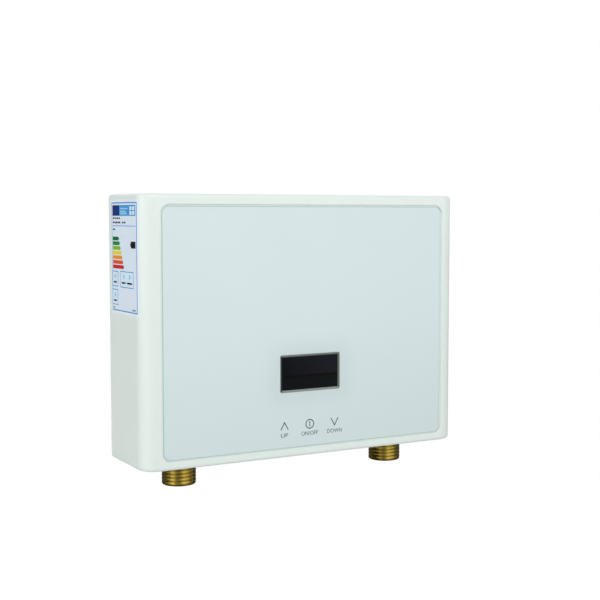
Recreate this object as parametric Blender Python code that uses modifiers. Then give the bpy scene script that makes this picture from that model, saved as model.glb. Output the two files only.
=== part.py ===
"""Wall-hung tankless water heater: a moulded case with a glass front, hung by two keyholes.

Metres, +Z up. The origin is the middle of the back, where the heater meets the wall.
+X points to the viewer's right and +Y into the wall, so the glass faces -Y.
"""
import math

import bmesh
import bpy
from mathutils import Matrix, Vector

# Clearances
GAP = 0.0003
OVERRUN = 0.0010
ROOT = 0.0006

# Case
CASE_WIDTH = 0.2200
CASE_HEIGHT = 0.1605
CASE_DEPTH = 0.0535
CASE_WALL = 0.0024
SIDE_FILLET = 0.0107
EDGE_FILLET = 0.0022
CAVITY_FILLET = 0.0030
REBATE_WALL = 0.0012
REBATE_DEPTH = 0.0105

# Glass panel and the recess that holds it
GLASS_SIDE_MARGIN = 0.0124
GLASS_TOP_MARGIN = 0.0072
GLASS_BOTTOM_MARGIN = 0.0058
GLASS_THICKNESS = 0.0032
GLASS_CORNER = 0.0050
GLASS_EDGE_BEVEL = 0.0004
GLASS_SINK = 0.0005
GLASS_CLEARANCE = 0.0009
LIP_CHAMFER = 0.0008
TAPE_THICKNESS = 0.0008
TAPE_WIDTH = 0.0070
RECESS_FLOOR = 0.0022

# Display
DISPLAY_WIDTH = 0.0421
DISPLAY_HEIGHT = 0.0231
DISPLAY_RISE = 0.05155
DISPLAY_CORNER = 0.0012
TRIM_RIM = 0.0013
TRIM_PROUD = 0.0002
TRIM_LEDGE = 0.0012
TRIM_LEDGE_THICKNESS = 0.0017
WINDOW_SINK = 0.0004
MODULE_CLEARANCE = 0.0007

# Display board and touch keys
DISPLAY_BOARD_SIDE = 0.01295
DISPLAY_BOARD_REACH = 0.01365
BOARD_THICKNESS = 0.0016
BOARD_CORNER = 0.0015
BOARD_POST_RADIUS = 0.0026
BOARD_POST_LENGTH = 0.0037
BOARD_POST_INSET = 0.0042
TOUCH_SPACING = 0.0178
TOUCH_RISE = 0.01885
TOUCH_HOLE_RADIUS = 0.0056
SPRING_RADIUS = 0.0042
SPRING_WIRE = 0.0006
SPRING_TURNS = 2.5
SPRING_STEPS = 8

# Water fittings: half-inch parallel pipe thread outside
PIPE_THREAD_DIAMETER = 0.020955
FITTING_INSET = 0.0350
FITTING_FROM_WALL = 0.0220
FITTING_LENGTH = 0.0155
FITTING_BORE_RADIUS = 0.0073
FITTING_THROAT_RADIUS = 0.0060
FITTING_CHAMFER = 0.0010
HEX_ACROSS_CORNERS = 0.0264
HEX_THICKNESS = 0.0032
SOCKET_WALL = 0.0018
SOCKET_DEPTH = 0.0080
SOCKET_NECK = 0.0035
TONGUE_MARGIN = 0.0030

# Inlet filter
FILTER_DEPTH = 0.0080
FILTER_RIM = 0.0014
FILTER_LENGTH = 0.0110
FILTER_WALL = 0.0008
FILTER_WINDOWS = 4
FILTER_WINDOW_WIDTH = 0.0016
FILTER_WINDOW_MARGIN = 0.0016
FILTER_END_TAPER = 0.0010

# Flow sensor
CHAMBER_RADIUS = 0.0086
CHAMBER_LENGTH = 0.0190
CHAMBER_WALL = 0.0032
CHAMBER_FLOOR = 0.0030
SPIGOT_LENGTH = 0.0075
SPIGOT_WALL = 0.0017
BEARING_RADIUS = 0.0022
BEARING_LENGTH = 0.0040
AXLE_RADIUS = 0.0010
RUNNING_GAP = 0.00030
ARM_THICKNESS = 0.0011
ARM_COUNT = 3
ROTOR_HUB_RADIUS = 0.0027
ROTOR_TIP_CLEARANCE = 0.0007
ROTOR_END_GAP = 0.0005
VANE_COUNT = 6
VANE_THICKNESS = 0.0009
VANE_TWIST = math.radians(50)
VANE_SLICES = 3
CAP_FLANGE = 0.0040
CAP_SPIGOT = 0.0026
PICKUP_WIDTH = 0.0110
PICKUP_HEIGHT = 0.0120
PICKUP_THICKNESS = 0.0035

# Pipes
PIPE_RADIUS = 0.0060
PIPE_WALL = 0.0012
PIPE_STRAIGHT = 0.0120
PIPE_STEPS = 5

# Tank
TANK_WALL = 0.0014
TANK_LEFT_MARGIN = 0.0400
TANK_RIGHT_MARGIN = 0.0240
TANK_HEADROOM = 0.02085
TANK_DOME = 0.0060
DOME_ANGLES = (0, 35, 65, 90)
FLANGE_RIM = 0.0040
FLANGE_CLEARANCE = 0.0008
FLANGE_THICKNESS = 0.0030
TANK_PORT_INSET = 0.0135
TANK_PORT_LENGTH = 0.0095
PLUG_LENGTH = 0.0066
GASKET_THICKNESS = 0.0010
GASKET_RIM = 0.0008
PAD_RADIUS = 0.0092
PAD_RISE = 0.0010
PROBE_BOSS_RADIUS = 0.0052
PROBE_BOSS_RISE = 0.0030
PROBE_RADIUS = 0.0025
PROBE_REACH = 0.0050
PROBE_HEX_RADIUS = 0.0045
PROBE_HEX_THICKNESS = 0.0030
PROBE_INSET = 0.0060
PROBE_TIP_SHARE = 0.5
PROBE_STEM_SHARE = 0.8

# Heating elements
ELEMENT_RADIUS = 0.0030
ELEMENT_PITCH_SHARE = 0.40
ELEMENT_RISE_SHARE = 0.333
ELEMENT_END_CLEARANCE = 0.0240
ELEMENT_TAIL = 0.0055
PIN_RADIUS = 0.0015
PIN_LENGTH = 0.0080

# Tank straps and saddles
STRAP_PLACE_SHARES = (-0.20, 0.20)
STRAP_WIDTH = 0.0100
STRAP_THICKNESS = 0.0008
STRAP_FOOT = 0.0095
STRAP_BOSS_RADIUS = 0.0040
STRAP_BOSS_LENGTH = 0.0080
STRAP_HOLE_RADIUS = 0.0016
SADDLE_WIDTH = 0.0060
SADDLE_CLEARANCE = 0.0020
SADDLE_REACH_SHARE = 0.55

# Thermal cut-out
CUTOUT_RADIUS = 0.0082
CUTOUT_HEIGHT = 0.0085
CUTOUT_NECK_RADIUS = 0.0038
CUTOUT_NECK_HEIGHT = 0.0020
BUTTON_RADIUS = 0.0022
BUTTON_LENGTH = 0.0070
BUTTON_PROUD = 0.0022
BUTTON_TRAVEL = 0.0015
BUTTON_CHAMFER = 0.0007
TAB_WIDTH = 0.0063
TAB_THICKNESS = 0.0008
TAB_LENGTH = 0.0070

# Earth screw
EARTH_BOSS_RADIUS = 0.0042
EARTH_BOSS_LENGTH = 0.0050
EARTH_SHANK_RADIUS = 0.0020
EARTH_HEAD_RADIUS = 0.0042
EARTH_HEAD_THICKNESS = 0.0030

# Back plate
PLATE_THICKNESS = 0.0026
PLATE_CORNER = 0.0020
SKIRT_THICKNESS = 0.0020
SKIRT_DEPTH = 0.0082
SEAL_THICKNESS = 0.0014
RIB_THICKNESS = 0.0014
RIB_HEIGHT = 0.0030
RIB_SHARES = (-0.40, -0.13, 0.13, 0.40)
KEYHOLE_INSET = 0.0540
KEYHOLE_DROP = 0.02225
KEYHOLE_RADIUS = 0.0048
KEYHOLE_SLOT_RADIUS = 0.0024
KEYHOLE_TRAVEL = 0.0090
CUP_WALL = 0.0014
CUP_DEPTH = 0.0052
CUP_MARGIN = 0.0020

# Case screws and their posts
SCREW_INSET = 0.0110
SCREW_RADIUS = 0.0015
SCREW_HEAD_RADIUS = 0.0028
SCREW_HEAD_THICKNESS = 0.0022
SCREW_LENGTH = 0.0140
SCREW_HEAD_CROWN = 0.0006
SCREW_BOSS_RADIUS = 0.0045
SCREW_BOSS_LENGTH = 0.0064
SCREW_COUNTERBORE = 0.0052
POST_RADIUS = 0.0040

# Power board and what it carries
BOARD_SIDE_CLEARANCE = 0.0210
BOARD_FLOOR_CLEARANCE = 0.01185
BOARD_TANK_CLEARANCE = 0.0150
STANDOFF_LENGTH = 0.0053
STANDOFF_RADIUS = 0.0030
STANDOFF_INSET = 0.0050
SINK_BASE = 0.0030
SINK_FIN_HEIGHT = 0.0130
SINK_FIN_THICKNESS = 0.0014
SINK_FINS = 7
SINK_PLACE_SHARE = (-0.27, 0.24)
SINK_SIZE_SHARE = (0.37, 0.41)
TRIAC_HEIGHT = 0.0150
TRIAC_TAB_HEIGHT = 0.0053
TRIAC_TAB_THICKNESS = 0.0013
TRIAC_PLACE_SHARES = ((-0.36, -0.085), (-0.215, -0.085))
TRIAC_SIZE_SHARE = (0.093, 0.060)
RELAY_HEIGHT = 0.0150
RELAY_PLACE_SHARES = ((0.09, 0.29), (0.32, 0.29))
RELAY_SIZE_SHARE = (0.176, 0.21)
TRANSFORMER_HEIGHT = 0.0150
TRANSFORMER_PLACE_SHARE = (0.33, -0.14)
TRANSFORMER_SIZE_SHARE = (0.185, 0.216)
BOBBIN_HEIGHT = 0.0170
BOBBIN_SIZE_SHARE = (0.111, 0.297)
CAPACITOR_RADIUS = 0.0052
CAPACITOR_LENGTH = 0.0160
CAPACITOR_CROWN = 0.0008
CAPACITOR_PLACE_SHARE = (0.09, -0.06)
COIL_RADIUS = 0.0100
COIL_BORE_RADIUS = 0.0050
COIL_THICKNESS = 0.0090
COIL_PLACE_SHARE = (-0.24, -0.36)
TERMINAL_HEIGHT = 0.0140
TERMINAL_WAYS = 3
TERMINAL_PLACE_SHARE = (0.10, -0.36)
TERMINAL_SIZE_SHARE = (0.305, 0.162)
TERMINAL_WELL_SHARE = 0.3
TERMINAL_WELL_DEPTH = 0.0056
TERMINAL_BEVEL = 0.0006
BLOCK_BEVEL = 0.0008

# Cable entry
GROMMET_RADIUS = 0.0072
GROMMET_BORE_RADIUS = 0.0040
GROMMET_FLANGE = 0.0018
GROMMET_LIP = 0.0005
GROMMET_FROM_WALL = 0.0260
GROMMET_OFFSET = 0.0110

# Leads
LEAD_RADIUS = 0.0013
LEAD_SPACING = 0.0036
LEAD_STEPS = 3
TURN_IN_SHARE = 0.3
TURN_UP_SHARE = 0.2
LEAD_STRAIGHT = 0.0036
RIBBON_WIDTH = 0.0080
RIBBON_THICKNESS = 0.0009
RIBBON_RISE = 0.0060
RIBBON_FOOT_SHARE = -0.298
RIBBON_STEPS = 8
LEAD_TURN = 0.0144
LEAD_WALL_CLEARANCE = 0.0026
PIPE_BORE_RUNOUT = 0.0030
LINK_RIM = 0.0016
LINK_THICKNESS = 0.0010
LINK_CORNER = 0.0025

# Facets round a circle
SMALL = 8
COARSE = 12
MEDIUM = 16
FINE = 18
ARC_STEPS = 3
SLOT_ARC_STEPS = 8
LARGE_ARC_STEPS = 8
GLASS_ARC_STEPS = 5
EDGE_FILLET_STEPS = 3
HEXAGON = 6
HAIRPIN_STEPS = 8
PIPE_RESOLUTION = 4
ELEMENT_RESOLUTION = 2
LEAD_RESOLUTION = 1
SHARP_ANGLE = math.radians(32)
BEVEL_ANGLE = math.radians(60)
WELD = 1e-7

# Places worked out from the sizes above
FRONT = -CASE_DEPTH
HALF_WIDTH = CASE_WIDTH / 2
HALF_HEIGHT = CASE_HEIGHT / 2
GLASS_WIDTH = CASE_WIDTH - 2 * GLASS_SIDE_MARGIN
GLASS_HEIGHT = CASE_HEIGHT - GLASS_TOP_MARGIN - GLASS_BOTTOM_MARGIN
GLASS_CENTRE = (GLASS_BOTTOM_MARGIN - GLASS_TOP_MARGIN) / 2
GLASS_FRONT = FRONT + GLASS_SINK
GLASS_BACK = GLASS_FRONT + GLASS_THICKNESS
TAPE_FRONT = GLASS_BACK + GAP
TAPE_BACK = TAPE_FRONT + TAPE_THICKNESS
RECESS_BACK = TAPE_BACK + GAP
COVER_INSIDE = RECESS_BACK + RECESS_FLOOR
DISPLAY_BOARD_FRONT = COVER_INSIDE + BOARD_POST_LENGTH + GAP
DISPLAY_BOARD_BACK = DISPLAY_BOARD_FRONT + BOARD_THICKNESS
BOTTOM = -HALF_HEIGHT
DISPLAY_CENTRE = BOTTOM + DISPLAY_RISE
TOUCH_CENTRE = BOTTOM + TOUCH_RISE
DISPLAY_BOARD_WIDTH = DISPLAY_WIDTH + 2 * DISPLAY_BOARD_SIDE
DISPLAY_BOARD_HEIGHT = DISPLAY_RISE - TOUCH_RISE + 2 * DISPLAY_BOARD_REACH
DISPLAY_BOARD_CENTRE = (DISPLAY_CENTRE + TOUCH_CENTRE) / 2
FLOOR_INSIDE = BOTTOM + CASE_WALL
THREAD_RADIUS = PIPE_THREAD_DIAMETER / 2
FITTING_X = HALF_WIDTH - FITTING_INSET
PLATE_INSIDE = -PLATE_THICKNESS
PLATE_WIDTH = CASE_WIDTH - 2 * (REBATE_WALL + GAP)
PLATE_HEIGHT = CASE_HEIGHT - 2 * (REBATE_WALL + GAP)
SKIRT_FRONT = -SKIRT_DEPTH
FLANGE_RADIUS = (PLATE_INSIDE - COVER_INSIDE) / 2 - FLANGE_CLEARANCE
TANK_RADIUS = FLANGE_RADIUS - FLANGE_RIM
TANK_INNER_RADIUS = TANK_RADIUS - TANK_WALL
TANK_LEFT = TANK_LEFT_MARGIN - HALF_WIDTH
TANK_RIGHT = HALF_WIDTH - TANK_RIGHT_MARGIN
TANK_LENGTH = TANK_RIGHT - TANK_LEFT
TANK_MIDDLE = (TANK_LEFT + TANK_RIGHT) / 2
TANK_TOP = HALF_HEIGHT - CASE_WALL - TANK_HEADROOM
TANK_BOTTOM = TANK_TOP - 2 * TANK_RADIUS
TANK_AXIS = Vector((TANK_MIDDLE, (PLATE_INSIDE + COVER_INSIDE) / 2, TANK_TOP - TANK_RADIUS))
CAP_FACE = TANK_LEFT - GASKET_THICKNESS - 2 * GAP
ELEMENT_HALF_PITCH = TANK_INNER_RADIUS * ELEMENT_PITCH_SHARE
ELEMENT_HALF_RISE = TANK_INNER_RADIUS * ELEMENT_RISE_SHARE
ELEMENT_TAIL_END = CAP_FACE - FLANGE_THICKNESS - ELEMENT_TAIL
INLET_PORT_X = TANK_RIGHT - TANK_PORT_INSET
OUTLET_PORT_X = TANK_LEFT + TANK_PORT_INSET
SOCKET_BORE_RADIUS = PIPE_RADIUS + GAP
SOCKET_RADIUS = SOCKET_BORE_RADIUS + SOCKET_WALL
KEYHOLE_X = HALF_WIDTH - KEYHOLE_INSET
KEYHOLE_CENTRE = HALF_HEIGHT - KEYHOLE_DROP
POWER_BOARD_WIDTH = 2 * (FITTING_X - BOARD_SIDE_CLEARANCE)
POWER_BOARD_LOW = FLOOR_INSIDE + BOARD_FLOOR_CLEARANCE
POWER_BOARD_HEIGHT = TANK_BOTTOM - BOARD_TANK_CLEARANCE - POWER_BOARD_LOW
POWER_BOARD_CENTRE = POWER_BOARD_LOW + POWER_BOARD_HEIGHT / 2
POWER_BOARD_BACK = PLATE_INSIDE - STANDOFF_LENGTH - GAP
POWER_BOARD_FRONT = POWER_BOARD_BACK - BOARD_THICKNESS
PART_BACK = POWER_BOARD_FRONT - GAP
SCREW_SEAT = PLATE_INSIDE - SCREW_BOSS_LENGTH


def clear_scene():
    for item in list(bpy.context.scene.objects):
        bpy.data.objects.remove(item, do_unlink=True)


def new_collection(name):
    collection = bpy.data.collections.new(name)
    bpy.context.scene.collection.children.link(collection)
    return collection


def material(name, colour, roughness, metallic=0.0):
    found = bpy.data.materials.get(name)
    if found:
        return found
    look = bpy.data.materials.new(name)
    look.use_nodes = True
    shader = look.node_tree.nodes["Principled BSDF"]
    shader.inputs["Base Color"].default_value = (*colour, 1.0)
    shader.inputs["Roughness"].default_value = roughness
    shader.inputs["Metallic"].default_value = metallic
    look.diffuse_color = (*colour, 1.0)
    return look


# Basic objects

def make(name, mesh, look=None, matrix=None):
    """Adds a mesh as a part with its material, or as a hidden tool where it has none."""
    item = bpy.data.objects.new(name, mesh)
    if matrix is not None:
        item.matrix_world = matrix
    if look is None:
        TOOLS.objects.link(item)
        item.hide_render = True
        item.display_type = "WIRE"
    else:
        PARTS.objects.link(item)
        mesh.materials.clear()
        mesh.materials.append(look)
        mesh.shade_smooth()
        mesh.set_sharp_from_angle(angle=SHARP_ANGLE)
    return item


def mesh_from(form, name):
    mesh = bpy.data.meshes.new(name)
    form.to_mesh(mesh)
    form.free()
    return mesh


def add_box(form, size, centre):
    made = bmesh.ops.create_cube(form, size=1)
    bmesh.ops.scale(form, vec=Vector(size), verts=made["verts"])
    bmesh.ops.translate(form, vec=Vector(centre), verts=made["verts"])


def add_rod(form, radius, start, end, segments=COARSE, end_radius=None):
    start = Vector(start)
    span = Vector(end) - start
    turn = span.to_track_quat("Z", "Y").to_matrix().to_4x4()
    bmesh.ops.create_cone(form, cap_ends=True, segments=segments, radius1=radius,
                          radius2=radius if end_radius is None else end_radius, depth=span.length,
                          matrix=Matrix.Translation(start + span / 2) @ turn)


def boxes(name, places, look=None):
    """One object of boxes, each given as (size, centre)."""
    form = bmesh.new()
    for size, centre in places:
        add_box(form, size, centre)
    return make(name, mesh_from(form, name), look)


def rods(name, places, look=None, segments=COARSE):
    """One object of round bars, each given as (radius, start, end)."""
    form = bmesh.new()
    for radius, start, end in places:
        add_rod(form, radius, start, end, segments)
    return make(name, mesh_from(form, name), look)


def combine(target, tool, operation):
    step = target.modifiers.new(tool.name, "BOOLEAN")
    step.operation = operation
    step.solver = "EXACT"
    step.object = tool


def cut(target, tool):
    combine(target, tool, "DIFFERENCE")


def join(target, tool):
    combine(target, tool, "UNION")


def round_edges(target, width, segments=2):
    step = target.modifiers.new("rounded edges", "BEVEL")
    step.width = width
    step.segments = segments
    step.limit_method = "ANGLE"
    step.angle_limit = BEVEL_ANGLE


def arc(centre, radius, first, last, steps=ARC_STEPS):
    """Points along an arc, with the angles in degrees."""
    points = []
    for step in range(steps + 1):
        angle = math.radians(first + (last - first) * step / steps)
        points.append((centre[0] + radius * math.cos(angle), centre[1] + radius * math.sin(angle)))
    return points


def rounded_rectangle(width, height, radius, centre=(0, 0), steps=ARC_STEPS):
    points = []
    corners = ((1, 1, 0), (-1, 1, 90), (-1, -1, 180), (1, -1, 270))
    for side, rise, first in corners:
        middle = (centre[0] + side * (width / 2 - radius), centre[1] + rise * (height / 2 - radius))
        points += arc(middle, radius, first, first + 90, steps)
    return points


def circle(radius, centre=(0, 0), steps=FINE):
    return arc(centre, radius, 0, 360 - 360 / steps, steps - 1)


FACING_FRONT = Matrix(((1, 0, 0), (0, 0, -1), (0, 1, 0)))
FACING_UP = Matrix.Identity(3)
FACING_SIDE = Matrix(((0, 0, 1), (1, 0, 0), (0, 1, 0)))


def slab(name, outlines, first, last, facing, look=None):
    """A flat outline, with its holes, made thick from one place to another along its normal."""
    curve = bpy.data.curves.new(name, "CURVE")
    curve.dimensions = "2D"
    curve.fill_mode = "BOTH"
    curve.extrude = abs(last - first) / 2
    for outline in outlines:
        spline = curve.splines.new("POLY")
        spline.points.add(len(outline) - 1)
        for point, place in zip(spline.points, outline):
            point.co = (place[0], place[1], 0, 1)
        spline.use_cyclic_u = True
    normal = facing.col[2]
    along = Vector([abs(share) for share in normal])
    matrix = Matrix.Translation(along * (first + last) / 2) @ facing.to_4x4()
    return solid_from_curve(name, curve, matrix, look)


def solid_from_curve(name, curve, matrix, look):
    """Turns a curve into a closed mesh with its caps welded on."""
    guide = bpy.data.objects.new(name + "_guide", curve)
    TOOLS.objects.link(guide)
    guide.matrix_world = matrix
    bpy.context.view_layer.update()
    shape = guide.evaluated_get(bpy.context.evaluated_depsgraph_get())
    mesh = bpy.data.meshes.new_from_object(shape)
    form = bmesh.new()
    form.from_mesh(mesh)
    bmesh.ops.remove_doubles(form, verts=form.verts, dist=WELD)
    form.to_mesh(mesh)
    form.free()
    placed = guide.matrix_world.copy()
    bpy.data.objects.remove(guide, do_unlink=True)
    bpy.data.curves.remove(curve)
    return make(name, mesh, look, placed)


def tube(name, points, radius, look=None, resolution=2):
    curve = bpy.data.curves.new(name, "CURVE")
    curve.dimensions = "3D"
    curve.bevel_depth = radius
    curve.bevel_resolution = resolution
    curve.use_fill_caps = True
    spline = curve.splines.new("POLY")
    spline.points.add(len(points) - 1)
    for point, place in zip(spline.points, points):
        point.co = (*place, 1)
    return solid_from_curve(name, curve, Matrix.Identity(4), look)


def turned(name, profile, base, direction, look=None, steps=FINE, ring=False, roll=0):
    """A profile of (radius, height) points turned about an axis through base.

    The profile runs down its outer side, a ring closes on itself, and roll sets where the facets start.
    """
    mesh = bpy.data.meshes.new(name)
    edges = [(index, index + 1) for index in range(len(profile) - 1)]
    if ring:
        edges.append((len(profile) - 1, 0))
    mesh.from_pydata([(radius, 0, height) for radius, height in profile], edges, [])
    turn = Vector(direction).to_track_quat("Z", "Y").to_matrix().to_4x4() @ Matrix.Rotation(roll, 4, "Z")
    item = make(name, mesh, look, Matrix.Translation(Vector(base)) @ turn)
    step = item.modifiers.new("turned", "SCREW")
    step.axis = "Z"
    step.angle = math.tau
    step.steps = steps
    step.render_steps = steps
    step.use_merge_vertices = True
    step.merge_threshold = WELD
    step.use_smooth_shade = True
    return item


def smooth_route(points, steps=LEAD_STEPS):
    """A smooth curve through the given points, read at even steps."""
    places = [Vector(point) for point in points]
    padded = [2 * places[0] - places[1]] + places + [2 * places[-1] - places[-2]]
    route = []
    for index in range(1, len(padded) - 2):
        before, start, end, after = padded[index - 1:index + 3]
        for step in range(steps):
            share = step / steps
            route.append(0.5 * (2 * start + (end - before) * share
                                + (2 * before - 5 * start + 4 * end - after) * share ** 2
                                + (3 * start - before - 3 * end + after) * share ** 3))
    route.append(places[-1])
    return route


def on_board(share):
    """A place on the power board from its shares of the width and the height."""
    return share[0] * POWER_BOARD_WIDTH, share[1] * POWER_BOARD_HEIGHT + POWER_BOARD_CENTRE


def board_size(share):
    """A width and a height worked out from their shares of the power board's."""
    return share[0] * POWER_BOARD_WIDTH, share[1] * POWER_BOARD_HEIGHT


# Materials

def looks():
    return {
        "case_white": material("case_white", (0.80, 0.83, 0.80), 0.32),
        "plate_white": material("plate_white", (0.72, 0.74, 0.72), 0.50),
        "glass": material("glass", (0.66, 0.76, 0.76), 0.06),
        "tape": material("tape", (0.05, 0.05, 0.05), 0.85),
        "trim_grey": material("trim_grey", (0.24, 0.26, 0.25), 0.35, 0.6),
        "smoked": material("smoked", (0.008, 0.009, 0.012), 0.08),
        "module_black": material("module_black", (0.02, 0.02, 0.02), 0.45),
        "board_green": material("board_green", (0.03, 0.16, 0.07), 0.45),
        "spring_steel": material("spring_steel", (0.60, 0.60, 0.60), 0.25, 1.0),
        "brass": material("brass", (0.50, 0.36, 0.09), 0.30, 1.0),
        "stainless": material("stainless", (0.56, 0.56, 0.55), 0.30, 1.0),
        "copper": material("copper", (0.62, 0.32, 0.20), 0.30, 1.0),
        "aluminium": material("aluminium", (0.62, 0.63, 0.64), 0.38, 1.0),
        "sensor_black": material("sensor_black", (0.03, 0.03, 0.03), 0.50),
        "rotor_white": material("rotor_white", (0.70, 0.70, 0.68), 0.45),
        "rubber": material("rubber", (0.03, 0.03, 0.03), 0.80),
        "phenolic": material("phenolic", (0.05, 0.03, 0.02), 0.45),
        "button_red": material("button_red", (0.50, 0.02, 0.02), 0.40),
        "relay_blue": material("relay_blue", (0.02, 0.10, 0.35), 0.35),
        "coil_yellow": material("coil_yellow", (0.60, 0.38, 0.03), 0.50),
        "lead_brown": material("lead_brown", (0.16, 0.06, 0.02), 0.50),
        "lead_blue": material("lead_blue", (0.02, 0.12, 0.45), 0.50),
        "lead_green": material("lead_green", (0.08, 0.36, 0.06), 0.50),
        "ribbon_grey": material("ribbon_grey", (0.35, 0.35, 0.36), 0.55),
    }


# Case

def corner_places(inset):
    return [(side * (HALF_WIDTH - inset), rise * (HALF_HEIGHT - inset))
            for side in (-1, 1) for rise in (-1, 1)]


def cover_block():
    """The outside of the case, with rounded upright front edges and softened top and bottom."""
    inner = SIDE_FILLET - HALF_WIDTH
    outline = [(-HALF_WIDTH, 0)]
    outline += arc((inner, FRONT + SIDE_FILLET), SIDE_FILLET, 180, 270, LARGE_ARC_STEPS)
    outline += arc((-inner, FRONT + SIDE_FILLET), SIDE_FILLET, 270, 360, LARGE_ARC_STEPS)
    outline += [(HALF_WIDTH, 0)]
    cover = slab("front_cover", [outline], -HALF_HEIGHT, HALF_HEIGHT, FACING_UP, LOOKS["case_white"])
    form = bmesh.new()
    form.from_mesh(cover.data)
    edges = []
    for edge in form.edges:
        on_rim = all(abs(abs(end.co.z) - HALF_HEIGHT) < GAP for end in edge.verts)
        at_back = all(abs(end.co.y) < GAP for end in edge.verts)
        folded = edge.calc_face_angle() > SHARP_ANGLE
        if on_rim and folded and not at_back:
            edges.append(edge)
    bmesh.ops.bevel(form, geom=edges, offset=EDGE_FILLET, offset_type="OFFSET",
                    segments=EDGE_FILLET_STEPS, profile=0.5, affect="EDGES", clamp_overlap=True)
    form.to_mesh(cover.data)
    form.free()
    return cover


def cavity_tool():
    half = HALF_WIDTH - CASE_WALL
    outline = [(-half, OVERRUN)]
    outline += arc((CAVITY_FILLET - half, COVER_INSIDE + CAVITY_FILLET), CAVITY_FILLET, 180, 270)
    outline += arc((half - CAVITY_FILLET, COVER_INSIDE + CAVITY_FILLET), CAVITY_FILLET, 270, 360)
    outline += [(half, OVERRUN)]
    reach = HALF_HEIGHT - CASE_WALL
    return slab("cover_cavity", [outline], -reach, reach, FACING_UP)


def recess_tool():
    """The glass recess with its chamfered lip, lofted through three rounded outlines."""
    width = GLASS_WIDTH + 2 * GLASS_CLEARANCE
    height = GLASS_HEIGHT + 2 * GLASS_CLEARANCE
    corner = GLASS_CORNER + GLASS_CLEARANCE
    flare = LIP_CHAMFER + OVERRUN
    levels = ((RECESS_BACK, 0), (FRONT + LIP_CHAMFER, 0), (FRONT - OVERRUN, flare))
    form = bmesh.new()
    rings = []
    for depth, growth in levels:
        outline = rounded_rectangle(width + 2 * growth, height + 2 * growth, corner + growth,
                                    (0, GLASS_CENTRE), GLASS_ARC_STEPS)
        rings.append([form.verts.new((across, depth, rise)) for across, rise in outline])
    for lower, upper in zip(rings, rings[1:]):
        for index, vertex in enumerate(lower):
            after = (index + 1) % len(lower)
            form.faces.new((vertex, upper[index], upper[after], lower[after]))
    form.faces.new(rings[0])
    form.faces.new(reversed(rings[-1]))
    bmesh.ops.recalc_face_normals(form, faces=form.faces)
    return make("glass_recess", mesh_from(form, "glass_recess"))


def slot_outline(centre_x, centre_y, radius, back):
    """An outline open to the back, rounded round a pipe or a cable."""
    outline = arc((centre_x, centre_y), radius, 180, 360, SLOT_ARC_STEPS)
    return outline + [(centre_x + radius, back), (centre_x - radius, back)]


def bottom_ways():
    """Centre and tongue radius of everything that passes the bottom wall."""
    fitting = THREAD_RADIUS + TONGUE_MARGIN
    grommet = GROMMET_RADIUS + TONGUE_MARGIN
    return ((-FITTING_X, -FITTING_FROM_WALL, fitting), (FITTING_X, -FITTING_FROM_WALL, fitting),
            (GROMMET_OFFSET, -GROMMET_FROM_WALL, grommet))


def board_post_places():
    across = DISPLAY_BOARD_WIDTH / 2 - BOARD_POST_INSET
    rise = DISPLAY_BOARD_HEIGHT / 2 - BOARD_POST_INSET
    return [(side * across, DISPLAY_BOARD_CENTRE + up * rise) for side in (-1, 1) for up in (-1, 1)]


def touch_places():
    return [(side * TOUCH_SPACING, TOUCH_CENTRE) for side in (-1, 0, 1)]


def build_front_cover():
    cover = cover_block()
    cut(cover, cavity_tool())
    rebate = boxes("cover_rebate", [((CASE_WIDTH - 2 * REBATE_WALL, REBATE_DEPTH + OVERRUN,
                                      CASE_HEIGHT - 2 * REBATE_WALL),
                                     (0, (OVERRUN - REBATE_DEPTH) / 2, 0))])
    cut(cover, rebate)
    cut(cover, recess_tool())
    posts = [(POST_RADIUS, (x, COVER_INSIDE - ROOT, z), (x, SCREW_SEAT - GAP, z))
             for x, z in corner_places(SCREW_INSET)]
    join(cover, rods("cover_posts", posts))
    small = [(BOARD_POST_RADIUS, (x, COVER_INSIDE - ROOT, z), (x, COVER_INSIDE + BOARD_POST_LENGTH, z))
             for x, z in board_post_places()]
    join(cover, rods("board_posts", small, segments=SMALL))
    pilot = SCREW_RADIUS + GAP
    depth = SCREW_LENGTH + OVERRUN
    cut(cover, rods("cover_pilots", [(pilot, (x, SCREW_SEAT - depth, z), (x, SCREW_SEAT + OVERRUN, z))
                                     for x, z in corner_places(SCREW_INSET)], segments=SMALL))
    middle = (0, DISPLAY_CENTRE)
    opening = rounded_rectangle(DISPLAY_WIDTH - TRIM_RIM, DISPLAY_HEIGHT - TRIM_RIM, DISPLAY_CORNER, middle)
    cut(cover, slab("display_way", [opening], RECESS_BACK - OVERRUN, COVER_INSIDE + OVERRUN, FACING_FRONT))
    cut(cover, rods("touch_ways", [(TOUCH_HOLE_RADIUS, (x, RECESS_BACK - OVERRUN, z),
                                    (x, COVER_INSIDE + OVERRUN, z)) for x, z in touch_places()]))
    for number, (x, y, radius) in enumerate(bottom_ways()):
        outline = slot_outline(x, y, radius + GAP, OVERRUN)
        cut(cover, slab("bottom_slot_%d" % number, [outline], BOTTOM - OVERRUN, FLOOR_INSIDE + OVERRUN,
                        FACING_UP))
    return cover


def keyhole_outline(side):
    """A round hole with a narrower slot above it."""
    centre = (side * KEYHOLE_X, KEYHOLE_CENTRE)
    radius = KEYHOLE_RADIUS
    neck = KEYHOLE_SLOT_RADIUS
    lean = math.degrees(math.asin(neck / radius))
    outline = arc((centre[0], centre[1] + KEYHOLE_TRAVEL), neck, 0, 180, SMALL // 2)
    return outline + arc(centre, radius, 90 + lean, 450 - lean, COARSE)


def cup_outline(side, grow):
    width = 2 * (KEYHOLE_RADIUS + CUP_MARGIN + grow)
    height = KEYHOLE_TRAVEL + width
    centre = (side * KEYHOLE_X, KEYHOLE_CENTRE + KEYHOLE_TRAVEL / 2)
    return rounded_rectangle(width, height, KEYHOLE_RADIUS, centre)


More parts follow.
